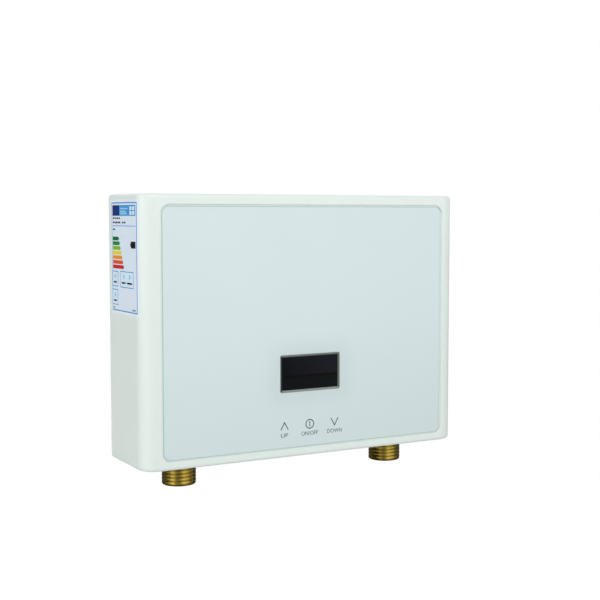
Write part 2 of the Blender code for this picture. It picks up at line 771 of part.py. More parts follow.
def add_keyholes(plate):
    """Two keyholes, each with a closed cup behind it for the head of the wall screw."""
    for side, word in ((-1, "left"), (1, "right")):
        floor = PLATE_INSIDE - CUP_DEPTH
        join(plate, slab("cup_" + word, [cup_outline(side, CUP_WALL)], floor - CUP_WALL,
                         PLATE_INSIDE + ROOT, FACING_FRONT))
        cut(plate, slab("cup_hollow_" + word, [cup_outline(side, 0)], floor, PLATE_INSIDE, FACING_FRONT))
        cut(plate, slab("keyhole_" + word, [keyhole_outline(side)], PLATE_INSIDE - OVERRUN, OVERRUN,
                        FACING_FRONT))


def standoff_places():
    across = POWER_BOARD_WIDTH / 2 - STANDOFF_INSET
    rise = POWER_BOARD_HEIGHT / 2 - STANDOFF_INSET
    return [(side * across, up * rise + POWER_BOARD_CENTRE) for side in (-1, 1) for up in (-1, 1)]


def strap_places():
    return [TANK_MIDDLE + share * TANK_LENGTH for share in STRAP_PLACE_SHARES]


def strap_boss_places(x):
    reach = TANK_RADIUS + GAP + STRAP_THICKNESS + STRAP_FOOT / 2 + GAP
    return [(x, TANK_AXIS.z + up * reach) for up in (-1, 1)]


def add_plate_bosses(plate):
    inside = PLATE_INSIDE + ROOT
    strap_bosses = [place for x in strap_places() for place in strap_boss_places(x)]
    bosses = [(SCREW_BOSS_RADIUS, (x, inside, z), (x, SCREW_SEAT, z)) for x, z in corner_places(SCREW_INSET)]
    bosses += [(STANDOFF_RADIUS, (x, inside, z), (x, PLATE_INSIDE - STANDOFF_LENGTH, z))
               for x, z in standoff_places()]
    bosses += [(STRAP_BOSS_RADIUS, (x, inside, z), (x, PLATE_INSIDE - STRAP_BOSS_LENGTH, z))
               for x, z in strap_bosses]
    join(plate, rods("plate_bosses", bosses, segments=SMALL))
    holes = [(SCREW_RADIUS + GAP, (x, OVERRUN, z), (x, SCREW_SEAT - OVERRUN, z))
             for x, z in corner_places(SCREW_INSET)]
    holes += [(STRAP_HOLE_RADIUS, (x, PLATE_INSIDE - ROOT, z),
               (x, PLATE_INSIDE - STRAP_BOSS_LENGTH - OVERRUN, z)) for x, z in strap_bosses]
    cut(plate, rods("plate_holes", holes, segments=SMALL))
    wells = [(SCREW_HEAD_RADIUS + GAP, (x, OVERRUN, z), (x, -SCREW_COUNTERBORE, z))
             for x, z in corner_places(SCREW_INSET)]
    cut(plate, rods("plate_wells", wells))


def add_saddles(plate):
    """Ribs that cradle the tank, cut to its curve."""
    reach = (PLATE_INSIDE - TANK_AXIS.y) * SADDLE_REACH_SHARE
    size = (SADDLE_WIDTH, reach + ROOT, 2 * (TANK_RADIUS - SADDLE_CLEARANCE))
    middle = PLATE_INSIDE + (ROOT - reach) / 2
    join(plate, boxes("saddles", [(size, (x, middle, TANK_AXIS.z)) for x in strap_places()]))
    bed = TANK_RADIUS + GAP
    cut(plate, rods("saddle_bed", [(bed, (TANK_LEFT, TANK_AXIS.y, TANK_AXIS.z),
                                    (TANK_RIGHT, TANK_AXIS.y, TANK_AXIS.z))], segments=FINE))


def build_back_plate():
    outline = rounded_rectangle(PLATE_WIDTH, PLATE_HEIGHT, PLATE_CORNER)
    plate = slab("back_plate", [outline], SKIRT_FRONT, 0, FACING_FRONT, LOOKS["plate_white"])
    inner = rounded_rectangle(PLATE_WIDTH - 2 * SKIRT_THICKNESS, PLATE_HEIGHT - 2 * SKIRT_THICKNESS,
                              PLATE_CORNER / 2)
    cut(plate, slab("plate_hollow", [inner], SKIRT_FRONT - OVERRUN, PLATE_INSIDE, FACING_FRONT))
    reach = PLATE_HEIGHT - 2 * (SKIRT_THICKNESS + RIB_HEIGHT)
    size = (RIB_THICKNESS, RIB_HEIGHT + ROOT, reach)
    middle = PLATE_INSIDE + (ROOT - RIB_HEIGHT) / 2
    join(plate, boxes("plate_ribs", [(size, (share * PLATE_WIDTH, middle, 0)) for share in RIB_SHARES]))
    add_plate_bosses(plate)
    add_saddles(plate)
    add_keyholes(plate)
    for number, (x, y, radius) in enumerate(bottom_ways()):
        outline = slot_outline(x, y, radius, 0)
        join(plate, slab("tongue_%d" % number, [outline], BOTTOM, FLOOR_INSIDE, FACING_UP))
        hole = radius - TONGUE_MARGIN + GAP
        cut(plate, rods("tongue_hole_%d" % number, [(hole, (x, y, BOTTOM - OVERRUN),
                                                     (x, y, FLOOR_INSIDE + OVERRUN))], segments=FINE))
    return plate


def build_case_seal():
    """A flat rubber frame in front of the plate's skirt, notched over each tongue."""
    outer = rounded_rectangle(PLATE_WIDTH, PLATE_HEIGHT, PLATE_CORNER)
    inner = rounded_rectangle(PLATE_WIDTH - 2 * SKIRT_THICKNESS, PLATE_HEIGHT - 2 * SKIRT_THICKNESS,
                              PLATE_CORNER / 2)
    low = -PLATE_HEIGHT / 2
    high = FLOOR_INSIDE + GAP
    notches = []
    for x, y, radius in sorted(bottom_ways()):
        reach = radius + GAP
        notches += [(x - reach, low), (x - reach, high), (x + reach, high), (x + reach, low)]
    last_corner = len(outer) * 3 // 4
    outer[last_corner:last_corner] = notches
    back = SKIRT_FRONT - GAP
    slab("case_seal", [outer, inner], back - SEAL_THICKNESS, back, FACING_FRONT, LOOKS["rubber"])


def build_case_screws():
    """Screws from the back, with their heads sunk in the plate's bosses."""
    words = ("bottom_left", "top_left", "bottom_right", "top_right")
    for word, (x, z) in zip(words, corner_places(SCREW_INSET)):
        head = -SCREW_COUNTERBORE + GAP
        tip = SCREW_SEAT - SCREW_LENGTH + OVERRUN
        crown = head + SCREW_HEAD_THICKNESS
        profile = ((0, crown), (SCREW_HEAD_RADIUS, crown - SCREW_HEAD_CROWN), (SCREW_HEAD_RADIUS, head),
                   (SCREW_RADIUS, head), (SCREW_RADIUS, tip), (0, tip - SCREW_RADIUS))
        turned("case_screw_" + word, profile, (x, 0, z), (0, 1, 0), LOOKS["stainless"], SMALL)


# Glass front

def display_outline(shrink):
    return rounded_rectangle(DISPLAY_WIDTH - 2 * shrink, DISPLAY_HEIGHT - 2 * shrink, DISPLAY_CORNER,
                             (0, DISPLAY_CENTRE))


def build_glass():
    outline = rounded_rectangle(GLASS_WIDTH, GLASS_HEIGHT, GLASS_CORNER, (0, GLASS_CENTRE), GLASS_ARC_STEPS)
    panel = slab("glass_panel", [outline, display_outline(-GAP)], GLASS_FRONT, GLASS_BACK, FACING_FRONT,
                 LOOKS["glass"])
    round_edges(panel, GLASS_EDGE_BEVEL, 1)
    inner = rounded_rectangle(GLASS_WIDTH - 2 * TAPE_WIDTH, GLASS_HEIGHT - 2 * TAPE_WIDTH,
                              GLASS_CORNER / 2, (0, GLASS_CENTRE))
    slab("glass_tape", [outline, inner], TAPE_FRONT, TAPE_BACK, FACING_FRONT, LOOKS["tape"])


def build_display():
    front = GLASS_FRONT - TRIM_PROUD
    back = RECESS_BACK - GAP
    trim = slab("display_trim", [display_outline(0), display_outline(TRIM_RIM + TRIM_LEDGE)], front, back,
                FACING_FRONT, LOOKS["trim_grey"])
    ledge = back - TRIM_LEDGE_THICKNESS
    cut(trim, slab("window_seat", [display_outline(TRIM_RIM)], front - OVERRUN, ledge, FACING_FRONT))
    window_front = front + WINDOW_SINK
    window = slab("display_window", [display_outline(TRIM_RIM + GAP)], window_front, ledge - GAP,
                  FACING_FRONT, LOOKS["smoked"])
    round_edges(window, GAP / 2, 1)
    slab("display_module", [display_outline(TRIM_RIM + TRIM_LEDGE + MODULE_CLEARANCE / 2)], ledge + GAP,
         DISPLAY_BOARD_FRONT - GAP, FACING_FRONT, LOOKS["module_black"])
    outline = rounded_rectangle(DISPLAY_BOARD_WIDTH, DISPLAY_BOARD_HEIGHT, BOARD_CORNER,
                                (0, DISPLAY_BOARD_CENTRE))
    slab("display_board", [outline], DISPLAY_BOARD_FRONT, DISPLAY_BOARD_BACK, FACING_FRONT,
         LOOKS["board_green"])


def build_touch_springs():
    """Coil springs that carry each key's touch from the glass to the board."""
    front = GLASS_BACK + GAP + SPRING_WIRE / 2
    back = DISPLAY_BOARD_FRONT - GAP - SPRING_WIRE / 2
    for word, (x, z) in zip(("up", "power", "down"), touch_places()):
        points = []
        steps = round(SPRING_TURNS * SPRING_STEPS)
        for step in range(steps + 1):
            share = step / steps
            angle = math.tau * SPRING_TURNS * share
            points.append((x + SPRING_RADIUS * math.cos(angle), front + (back - front) * share,
                           z + SPRING_RADIUS * math.sin(angle)))
        tube("touch_spring_" + word, points, SPRING_WIRE / 2, LOOKS["spring_steel"], 0)


# Water fittings

def fitting(name, x, socket_radius):
    """A turned brass nipple with a hexagon that sits on the case's floor."""
    seat = FLOOR_INSIDE + GAP
    end = BOTTOM - FITTING_LENGTH
    top = seat + HEX_THICKNESS + SOCKET_NECK + SOCKET_DEPTH
    outer = socket_radius + SOCKET_WALL
    step = end + FILTER_DEPTH + FILTER_RIM + GAP
    root = seat + ROOT
    profile = ((outer, top), (outer, root), (THREAD_RADIUS, root), (THREAD_RADIUS, end + FITTING_CHAMFER),
               (THREAD_RADIUS - FITTING_CHAMFER, end), (FITTING_BORE_RADIUS, end),
               (FITTING_BORE_RADIUS, step), (FITTING_THROAT_RADIUS, step),
               (FITTING_THROAT_RADIUS, top - SOCKET_DEPTH), (socket_radius, top - SOCKET_DEPTH),
               (socket_radius, top))
    body = turned(name, profile, (x, -FITTING_FROM_WALL, 0), (0, 0, 1), LOOKS["brass"], FINE, True)
    centre = (x, -FITTING_FROM_WALL)
    core = (outer + FITTING_THROAT_RADIUS) / 2
    hexagon = [circle(HEX_ACROSS_CORNERS / 2, centre, HEXAGON), circle(core, centre)]
    join(body, slab(name + "_hexagon", hexagon, seat, seat + HEX_THICKNESS, FACING_UP))
    return top


def build_fittings():
    spigot = CHAMBER_RADIUS - SPIGOT_WALL
    inlet_top = fitting("inlet_fitting", FITTING_X, spigot + GAP)
    outlet_top = fitting("outlet_fitting", -FITTING_X, SOCKET_BORE_RADIUS)
    return inlet_top, outlet_top


def build_filter():
    """A thimble-shaped strainer held by its rim against the step in the inlet's bore."""
    x = FITTING_X
    base = BOTTOM - FITTING_LENGTH + FILTER_DEPTH
    rim = FITTING_BORE_RADIUS - GAP
    outer = FITTING_THROAT_RADIUS - 2 * GAP
    inner = outer - FILTER_WALL
    top = base + FILTER_LENGTH
    ledge = base + FILTER_RIM
    end = top - 2 * FILTER_WALL
    profile = ((0, top), (outer - FILTER_END_TAPER, top), (outer, top - FILTER_END_TAPER), (outer, ledge),
               (rim, ledge), (rim, base), (inner, base), (inner, end), (0, end))
    strainer = turned("inlet_filter", profile, (x, -FITTING_FROM_WALL, 0), (0, 0, 1), LOOKS["rotor_white"],
                      COARSE)
    middle = (ledge + end) / 2
    for number in range(FILTER_WINDOWS // 2):
        form = bmesh.new()
        tall = end - ledge - 2 * FILTER_WINDOW_MARGIN
        add_box(form, (2 * (outer + OVERRUN), FILTER_WINDOW_WIDTH, tall), (0, 0, 0))
        window = make("filter_window_%d" % number, mesh_from(form, "filter_window"))
        turn = Matrix.Rotation(math.tau * number / FILTER_WINDOWS, 4, "Z")
        window.matrix_world = Matrix.Translation((x, -FITTING_FROM_WALL, middle)) @ turn
        cut(strainer, window)


# Flow sensor

def spider(target, name, x, y, bearing, hole, arms, reach):
    """A bearing held across the water way by thin arms.

    bearing, hole and arms are each a pair of heights.
    """
    join(target, rods(name + "_bearing", [(BEARING_RADIUS, (x, y, bearing[0]), (x, y, bearing[1]))]))
    for number in range(ARM_COUNT):
        form = bmesh.new()
        length = reach - BEARING_RADIUS / 2
        add_box(form, (length, ARM_THICKNESS, arms[1] - arms[0]), (BEARING_RADIUS / 2 + length / 2, 0, 0))
        arm = make("%s_arm_%d" % (name, number), mesh_from(form, name))
        turn = Matrix.Rotation(math.tau * number / ARM_COUNT, 4, "Z")
        arm.matrix_world = Matrix.Translation((x, y, (arms[0] + arms[1]) / 2)) @ turn
        join(target, arm)
    radius = AXLE_RADIUS + RUNNING_GAP
    cut(target, rods(name + "_hole", [(radius, (x, y, hole[0]), (x, y, hole[1]))]))


def build_flow_sensor(inlet_top):
    """Turbine chamber, cap, axle, rotor and pick-up, upright above the inlet."""
    x = FITTING_X
    y = -FITTING_FROM_WALL
    spigot = CHAMBER_RADIUS - SPIGOT_WALL
    throat = spigot - SPIGOT_WALL
    outer = CHAMBER_RADIUS + CHAMBER_WALL
    base = inlet_top + GAP
    floor = base + CHAMBER_FLOOR
    top = floor + CHAMBER_LENGTH
    foot = base - SPIGOT_LENGTH
    profile = ((outer, top), (outer, base), (spigot, base), (spigot, foot), (throat, foot),
               (throat, floor - GAP), (CHAMBER_RADIUS, floor), (CHAMBER_RADIUS, top))
    body = turned("flow_sensor_body", profile, (x, y, 0), (0, 0, 1), LOOKS["sensor_black"], MEDIUM, True)
    low = (floor - BEARING_LENGTH, floor)
    spider(body, "lower_spider", x, y, low, (low[0] + OVERRUN, floor + OVERRUN),
           (low[0] + GAP, floor - OVERRUN), throat + ROOT)
    cap_base = top + GAP
    cap_top = cap_base + CAP_FLANGE
    socket_top = cap_top + SOCKET_DEPTH
    collar = CHAMBER_RADIUS - GAP
    skirt = cap_base - CAP_SPIGOT
    throat = SOCKET_BORE_RADIUS - SPIGOT_WALL / 2
    well = collar - SPIGOT_WALL
    profile = ((SOCKET_RADIUS, socket_top), (SOCKET_RADIUS, cap_top), (outer, cap_top), (outer, cap_base),
               (collar, cap_base), (collar, skirt), (well, skirt), (well, cap_base + OVERRUN),
               (throat, cap_top - OVERRUN), (throat, cap_top), (SOCKET_BORE_RADIUS, cap_top),
               (SOCKET_BORE_RADIUS, socket_top))
    cap = turned("flow_sensor_cap", profile, (x, y, 0), (0, 0, 1), LOOKS["sensor_black"], MEDIUM, True)
    high = (skirt, skirt + BEARING_LENGTH)
    spider(cap, "upper_spider", x, y, high, (skirt - OVERRUN, high[1] - OVERRUN),
           (skirt + GAP, skirt + BEARING_LENGTH - OVERRUN), well + ROOT)
    axle = (low[0] + OVERRUN + GAP, high[1] - OVERRUN - GAP)
    rods("rotor_axle", [(AXLE_RADIUS, (x, y, axle[0]), (x, y, axle[1]))], LOOKS["stainless"])
    build_rotor(x, y, floor + ROTOR_END_GAP, skirt - ROTOR_END_GAP)
    side = x - outer - GAP - PICKUP_THICKNESS / 2
    size = (PICKUP_THICKNESS, PICKUP_WIDTH, PICKUP_HEIGHT)
    pickup = boxes("flow_pickup", [(size, (side, y, (floor + top) / 2))], LOOKS["module_black"])
    round_edges(pickup, BLOCK_BEVEL, 1)
    return socket_top - SOCKET_DEPTH


def build_rotor(x, y, low, high):
    """The turbine: a hub with twisted vanes that runs free on its axle."""
    bore = AXLE_RADIUS + RUNNING_GAP
    height = high - low
    profile = ((ROTOR_HUB_RADIUS, height / 2), (ROTOR_HUB_RADIUS, -height / 2), (bore, -height / 2),
               (bore, height / 2))
    rotor = turned("flow_rotor", profile, (x, y, (low + high) / 2), (0, 0, 1), LOOKS["rotor_white"], COARSE,
                   True)
    tip = CHAMBER_RADIUS - ROTOR_TIP_CLEARANCE
    root = (bore + ROTOR_HUB_RADIUS) / 2
    span = height - 2 * ROTOR_END_GAP
    for number in range(VANE_COUNT):
        form = bmesh.new()
        add_box(form, (tip - root, VANE_THICKNESS, span), ((tip + root) / 2, 0, 0))
        uprights = [edge for edge in form.edges if abs(edge.verts[0].co.z - edge.verts[1].co.z) > span / 2]
        bmesh.ops.subdivide_edges(form, edges=uprights, cuts=VANE_SLICES - 1, use_grid_fill=True)
        for vertex in form.verts:
            turn = Matrix.Rotation(VANE_TWIST * vertex.co.z / span, 3, "Z")
            vertex.co = turn @ vertex.co
        bmesh.ops.triangulate(form, faces=form.faces)
        vane = make("vane_%d" % number, mesh_from(form, "vane"))
        start = Matrix.Rotation(math.tau * number / VANE_COUNT, 4, "Z")
        vane.matrix_world = Matrix.Translation((x, y, (low + high) / 2)) @ start
        join(rotor, vane)
    return rotor


# Tank

def dome(radius, length):
    """The outer side of a closed, domed end, down to the start of the straight wall."""
    shares = [math.radians(angle) for angle in DOME_ANGLES]
    return [(radius * math.sin(angle), length - TANK_DOME * (1 - math.cos(angle))) for angle in shares]


def build_tank():
    """The heating vessel, lying along X: a drawn shell with a flange, ports and bosses."""
    base = (TANK_LEFT, TANK_AXIS.y, TANK_AXIS.z)
    outside = dome(TANK_RADIUS, TANK_LENGTH)
    outside += [(TANK_RADIUS, FLANGE_THICKNESS), (FLANGE_RADIUS, FLANGE_THICKNESS), (FLANGE_RADIUS, 0),
                (0, 0)]
    half_facet = math.pi / FINE
    tank = turned("tank_body", outside, base, (1, 0, 0), LOOKS["stainless"], FINE, roll=half_facet)
    y = TANK_AXIS.y
    core = TANK_AXIS.z - TANK_RADIUS / 2
    crown = TANK_AXIS.z + TANK_RADIUS / 2
    port_end = TANK_BOTTOM - TANK_PORT_LENGTH
    earth_end = TANK_BOTTOM - EARTH_BOSS_LENGTH
    probe_end = TANK_TOP + PROBE_BOSS_RISE
    fixtures = [(SOCKET_RADIUS, (x, y, port_end), (x, y, core)) for x in (INLET_PORT_X, OUTLET_PORT_X)]
    middle = TANK_MIDDLE
    fixtures.append((EARTH_BOSS_RADIUS, (middle, y, earth_end), (middle, y, core)))
    fixtures.append((PAD_RADIUS, (middle, y, crown), (middle, y, TANK_TOP + PAD_RISE)))
    fixtures += [(PROBE_BOSS_RADIUS, (x, y, crown), (x, y, probe_end)) for x in probe_places()]
    join(tank, rods("tank_fixtures", fixtures))
    port_bore = PIPE_RADIUS - PIPE_WALL
    for number, x in enumerate((INLET_PORT_X, OUTLET_PORT_X)):
        seat = port_end + SOCKET_DEPTH - OVERRUN
        profile = ((0, core), (port_bore, core), (port_bore, seat), (SOCKET_BORE_RADIUS, seat),
                   (SOCKET_BORE_RADIUS, port_end - OVERRUN), (0, port_end - OVERRUN))
        cut(tank, turned("port_drill_%d" % number, profile, (x, y, 0), (0, 0, 1), None, COARSE))
    drills = [(PROBE_RADIUS + GAP, (x, y, crown), (x, y, probe_end + OVERRUN)) for x in probe_places()]
    drills.append((EARTH_SHANK_RADIUS + GAP, (middle, y, earth_end - OVERRUN), (middle, y, TANK_BOTTOM)))
    cut(tank, rods("tank_drills", drills, segments=SMALL))
    hollow = dome(TANK_INNER_RADIUS, TANK_LENGTH - TANK_WALL) + [(TANK_INNER_RADIUS, -OVERRUN), (0, -OVERRUN)]
    cut(tank, turned("tank_hollow", hollow, base, (1, 0, 0), None, FINE, roll=half_facet))
    return tank


def probe_places():
    return (OUTLET_PORT_X + PROBE_INSET, INLET_PORT_X - PROBE_INSET)


def element_places():
    return (("upper", TANK_AXIS.z + ELEMENT_HALF_RISE), ("lower", TANK_AXIS.z - ELEMENT_HALF_RISE))


def build_tank_cap():
    """End cap with its plug and holes for the elements, on a flat gasket."""
    plug = TANK_INNER_RADIUS - GAP
    face = -GASKET_THICKNESS - 2 * GAP
    back = face - FLANGE_THICKNESS
    profile = ((0, PLUG_LENGTH), (plug, PLUG_LENGTH), (plug, face), (FLANGE_RADIUS, face),
               (FLANGE_RADIUS, back), (0, back))
    base = (TANK_LEFT, TANK_AXIS.y, TANK_AXIS.z)
    cap = turned("tank_cap", profile, base, (1, 0, 0), LOOKS["brass"], FINE)
    holes = []
    for word, z in element_places():
        for side in (-1, 1):
            y = TANK_AXIS.y + side * ELEMENT_HALF_PITCH
            holes.append((ELEMENT_RADIUS + GAP, (TANK_LEFT + back - OVERRUN, y, z),
                          (TANK_LEFT + PLUG_LENGTH + OVERRUN, y, z)))
    cut(cap, rods("element_holes", holes, segments=SMALL))
    centre = (TANK_AXIS.y, TANK_AXIS.z)
    outlines = [circle(FLANGE_RADIUS - GASKET_RIM, centre), circle(TANK_INNER_RADIUS + GAP, centre)]
    front = TANK_LEFT - GAP
    slab("tank_seal", outlines, front - GASKET_THICKNESS, front, FACING_SIDE, LOOKS["rubber"])


def build_elements():
    """Two sheathed hairpin elements, entering through the cap, with terminal pins outside."""
    tail = ELEMENT_TAIL_END
    bend = TANK_RIGHT - ELEMENT_END_CLEARANCE
    for word, z in element_places():
        points = [(tail, TANK_AXIS.y - ELEMENT_HALF_PITCH, z)]
        points += [(bend + x, TANK_AXIS.y + y, z)
                   for x, y in arc((0, 0), ELEMENT_HALF_PITCH, -90, 90, HAIRPIN_STEPS)]
        points += [(tail, TANK_AXIS.y + ELEMENT_HALF_PITCH, z)]
        element = tube("heating_element_" + word, points, ELEMENT_RADIUS, LOOKS["stainless"],
                       ELEMENT_RESOLUTION)
        pins = [(PIN_RADIUS, (tail - PIN_LENGTH, TANK_AXIS.y + side * ELEMENT_HALF_PITCH, z),
                 (tail + OVERRUN, TANK_AXIS.y + side * ELEMENT_HALF_PITCH, z)) for side in (-1, 1)]
        join(element, rods("element_pins_" + word, pins, segments=SMALL))


def band(name, path, x, width, thickness, centre, look):
    """A flat band: a path of (y, z) points, made wide along X and thick away from centre."""
    form = bmesh.new()
    near = [form.verts.new((x - width / 2, y, z)) for y, z in path]
    edges = [form.edges.new(pair) for pair in zip(near, near[1:])]
    made = bmesh.ops.extrude_edge_only(form, edges=edges)
    moved = [item for item in made["geom"] if isinstance(item, bmesh.types.BMVert)]
    bmesh.ops.translate(form, vec=(width, 0, 0), verts=moved)
    bmesh.ops.recalc_face_normals(form, faces=form.faces)
    sheet = make(name, mesh_from(form, name), look)
    middle = Vector((x, centre[0], centre[1]))
    outward = sum(face.normal.dot(face.center - middle) * face.area for face in sheet.data.polygons)
    shell = sheet.modifiers.new("sheet", "SOLIDIFY")
    shell.thickness = thickness
    shell.offset = 1 if outward > 0 else -1
    shell.use_even_offset = True
    return sheet


def build_straps():
    """Sheet bands over the tank, with a foot on each boss of the back plate."""
    inner = TANK_RADIUS + GAP
    foot_y = PLATE_INSIDE - STRAP_BOSS_LENGTH - GAP
    foot_z = inner + STRAP_THICKNESS + STRAP_FOOT
    centre = (TANK_AXIS.y, TANK_AXIS.z)
    for x, word in zip(strap_places(), ("left", "right")):
        path = [(foot_y, centre[1] + foot_z), (foot_y, centre[1] + inner + OVERRUN),
                (foot_y - OVERRUN, centre[1] + inner)]
        path += arc(centre, inner, 90, 270, COARSE)
        path += [(foot_y - OVERRUN, centre[1] - inner), (foot_y, centre[1] - inner - OVERRUN),
                 (foot_y, centre[1] - foot_z)]
        strap = band("tank_strap_" + word, path, x, STRAP_WIDTH, STRAP_THICKNESS, centre, LOOKS["stainless"])
        holes = [(STRAP_HOLE_RADIUS, (x, foot_y + OVERRUN, z), (x, foot_y - 2 * OVERRUN, z))
                 for x, z in strap_boss_places(x)]
        cut(strap, rods("strap_holes_" + word, holes, segments=SMALL))


def build_cutout():
    """Thermal cut-out on its pad, with the reset button in its neck."""
    base = TANK_TOP + PAD_RISE + GAP
    top = base + CUTOUT_HEIGHT
    neck = top + CUTOUT_NECK_HEIGHT
    hole = BUTTON_RADIUS + RUNNING_GAP
    button_top = neck + BUTTON_PROUD
    button_low = button_top - BUTTON_LENGTH
    well = button_low - BUTTON_TRAVEL - GAP
    profile = ((0, well), (hole, well), (hole, neck), (CUTOUT_NECK_RADIUS, neck), (CUTOUT_NECK_RADIUS, top),
               (CUTOUT_RADIUS - BLOCK_BEVEL, top), (CUTOUT_RADIUS, top - BLOCK_BEVEL), (CUTOUT_RADIUS, base),
               (0, base))
    spot = (TANK_MIDDLE, TANK_AXIS.y, 0)
    body = turned("cutout_body", profile, spot, (0, 0, 1), LOOKS["phenolic"], COARSE)
    reach = CUTOUT_RADIUS + TAB_LENGTH / 2 - 2 * ROOT
    tabs = [((TAB_LENGTH, TAB_WIDTH, TAB_THICKNESS),
             (TANK_MIDDLE + side * reach, TANK_AXIS.y, (base + top) / 2)) for side in (-1, 1)]
    join(body, boxes("cutout_tabs", tabs))
    crown = BUTTON_RADIUS - BUTTON_CHAMFER
    form = ((0, button_top), (crown, button_top), (BUTTON_RADIUS, button_top - BUTTON_CHAMFER),
            (BUTTON_RADIUS, button_low), (0, button_low))
    button = turned("reset_button", form, spot, (0, 0, 1), LOOKS["button_red"], COARSE)
    return button


def build_probes():
    """Temperature probes screwed into the tank's bosses."""
    top = TANK_TOP + PROBE_BOSS_RISE + GAP
    tip = TANK_TOP - TANK_WALL - PROBE_REACH
    for word, x in zip(("outlet", "inlet"), probe_places()):
        head = top + PROBE_HEX_THICKNESS
        stem = PROBE_RADIUS * PROBE_STEM_SHARE
        end = PROBE_RADIUS * PROBE_TIP_SHARE
        profile = ((0, head + PROBE_RADIUS), (stem, head + PROBE_RADIUS), (PROBE_RADIUS, head - ROOT),
                   (PROBE_RADIUS, tip + PROBE_RADIUS - end), (end, tip), (0, tip))
        probe = turned(word + "_probe", profile, (x, TANK_AXIS.y, 0), (0, 0, 1), LOOKS["brass"], SMALL)
        join(probe, rods(word + "_probe_hexagon", [(PROBE_HEX_RADIUS, (x, TANK_AXIS.y, top),
                                                    (x, TANK_AXIS.y, head))], segments=HEXAGON))


def build_earth_screw():
    boss = TANK_BOTTOM - EARTH_BOSS_LENGTH - GAP
    x = TANK_MIDDLE
    y = TANK_AXIS.y
    screw = rods("earth_screw", [(EARTH_HEAD_RADIUS, (x, y, boss - EARTH_HEAD_THICKNESS), (x, y, boss))],
                 LOOKS["brass"], HEXAGON)
    join(screw, rods("earth_shank", [(EARTH_SHANK_RADIUS, (x, y, boss - ROOT), (x, y, TANK_BOTTOM - GAP))]))


def build_pipes(sensor_top, outlet_top):
    """Copper pipes between the sockets, each an easy S bend with its own bore."""
    y = -FITTING_FROM_WALL
    port = TANK_BOTTOM - TANK_PORT_LENGTH + SOCKET_DEPTH - OVERRUN - GAP
    ways = (("inlet_pipe", FITTING_X, sensor_top + GAP, INLET_PORT_X),
            ("outlet_pipe", -FITTING_X, outlet_top - SOCKET_DEPTH + GAP, OUTLET_PORT_X))
    for name, x, low, port_x in ways:
        start = Vector((x, y, low))
        end = Vector((port_x, TANK_AXIS.y, port))
        rise = Vector((0, 0, PIPE_STRAIGHT))
        first = start + rise
        last = end - rise
        points = [start]
        for step in range(PIPE_STEPS + 1):
            share = step / PIPE_STEPS
            ease = share * share * (3 - 2 * share)
            level = first.z + (last.z - first.z) * share
            points.append(Vector((first.x + (last.x - first.x) * ease, first.y + (last.y - first.y) * ease,
                                  level)))
        points.append(end)
        pipe = tube(name, points, PIPE_RADIUS, LOOKS["copper"], PIPE_RESOLUTION)
        runout = Vector((0, 0, PIPE_BORE_RUNOUT))
        bore = [start - runout] + points[1:-1] + [end + runout]
        cut(pipe, tube(name + "_bore", bore, PIPE_RADIUS - PIPE_WALL, None, PIPE_RESOLUTION))


# Electrics

def build_power_board():
    outline = rounded_rectangle(POWER_BOARD_WIDTH, POWER_BOARD_HEIGHT, BOARD_CORNER, (0, POWER_BOARD_CENTRE))
    slab("power_board", [outline], POWER_BOARD_FRONT, POWER_BOARD_BACK, FACING_FRONT, LOOKS["board_green"])


def build_heat_sink():
    """A comb of cooling fins on a thick base, extruded upwards."""
    x, z = on_board(SINK_PLACE_SHARE)
    width, length = board_size(SINK_SIZE_SHARE)
    base = PART_BACK - SINK_BASE
    tips = base - SINK_FIN_HEIGHT
    left = x - width / 2
    pitch = (width - SINK_FIN_THICKNESS) / (SINK_FINS - 1)
    outline = [(left, PART_BACK)]
    for fin in range(SINK_FINS):
        start = left + fin * pitch
        if fin:
            outline.append((start, base))
        outline += [(start, tips), (start + SINK_FIN_THICKNESS, tips)]
        if fin < SINK_FINS - 1:
            outline.append((start + SINK_FIN_THICKNESS, base))
    outline.append((left + width, PART_BACK))
    slab("heat_sink", [outline], z - length / 2, z + length / 2, FACING_UP, LOOKS["aluminium"])


def block_on_board(name, size_share, height, place_share, look=None, back=PART_BACK):
    """A block that stands out from the power board by its height."""
    x, z = on_board(place_share)
    width, length = board_size(size_share)
    return boxes(name, [((width, height, length), (x, back - height / 2, z))], look)


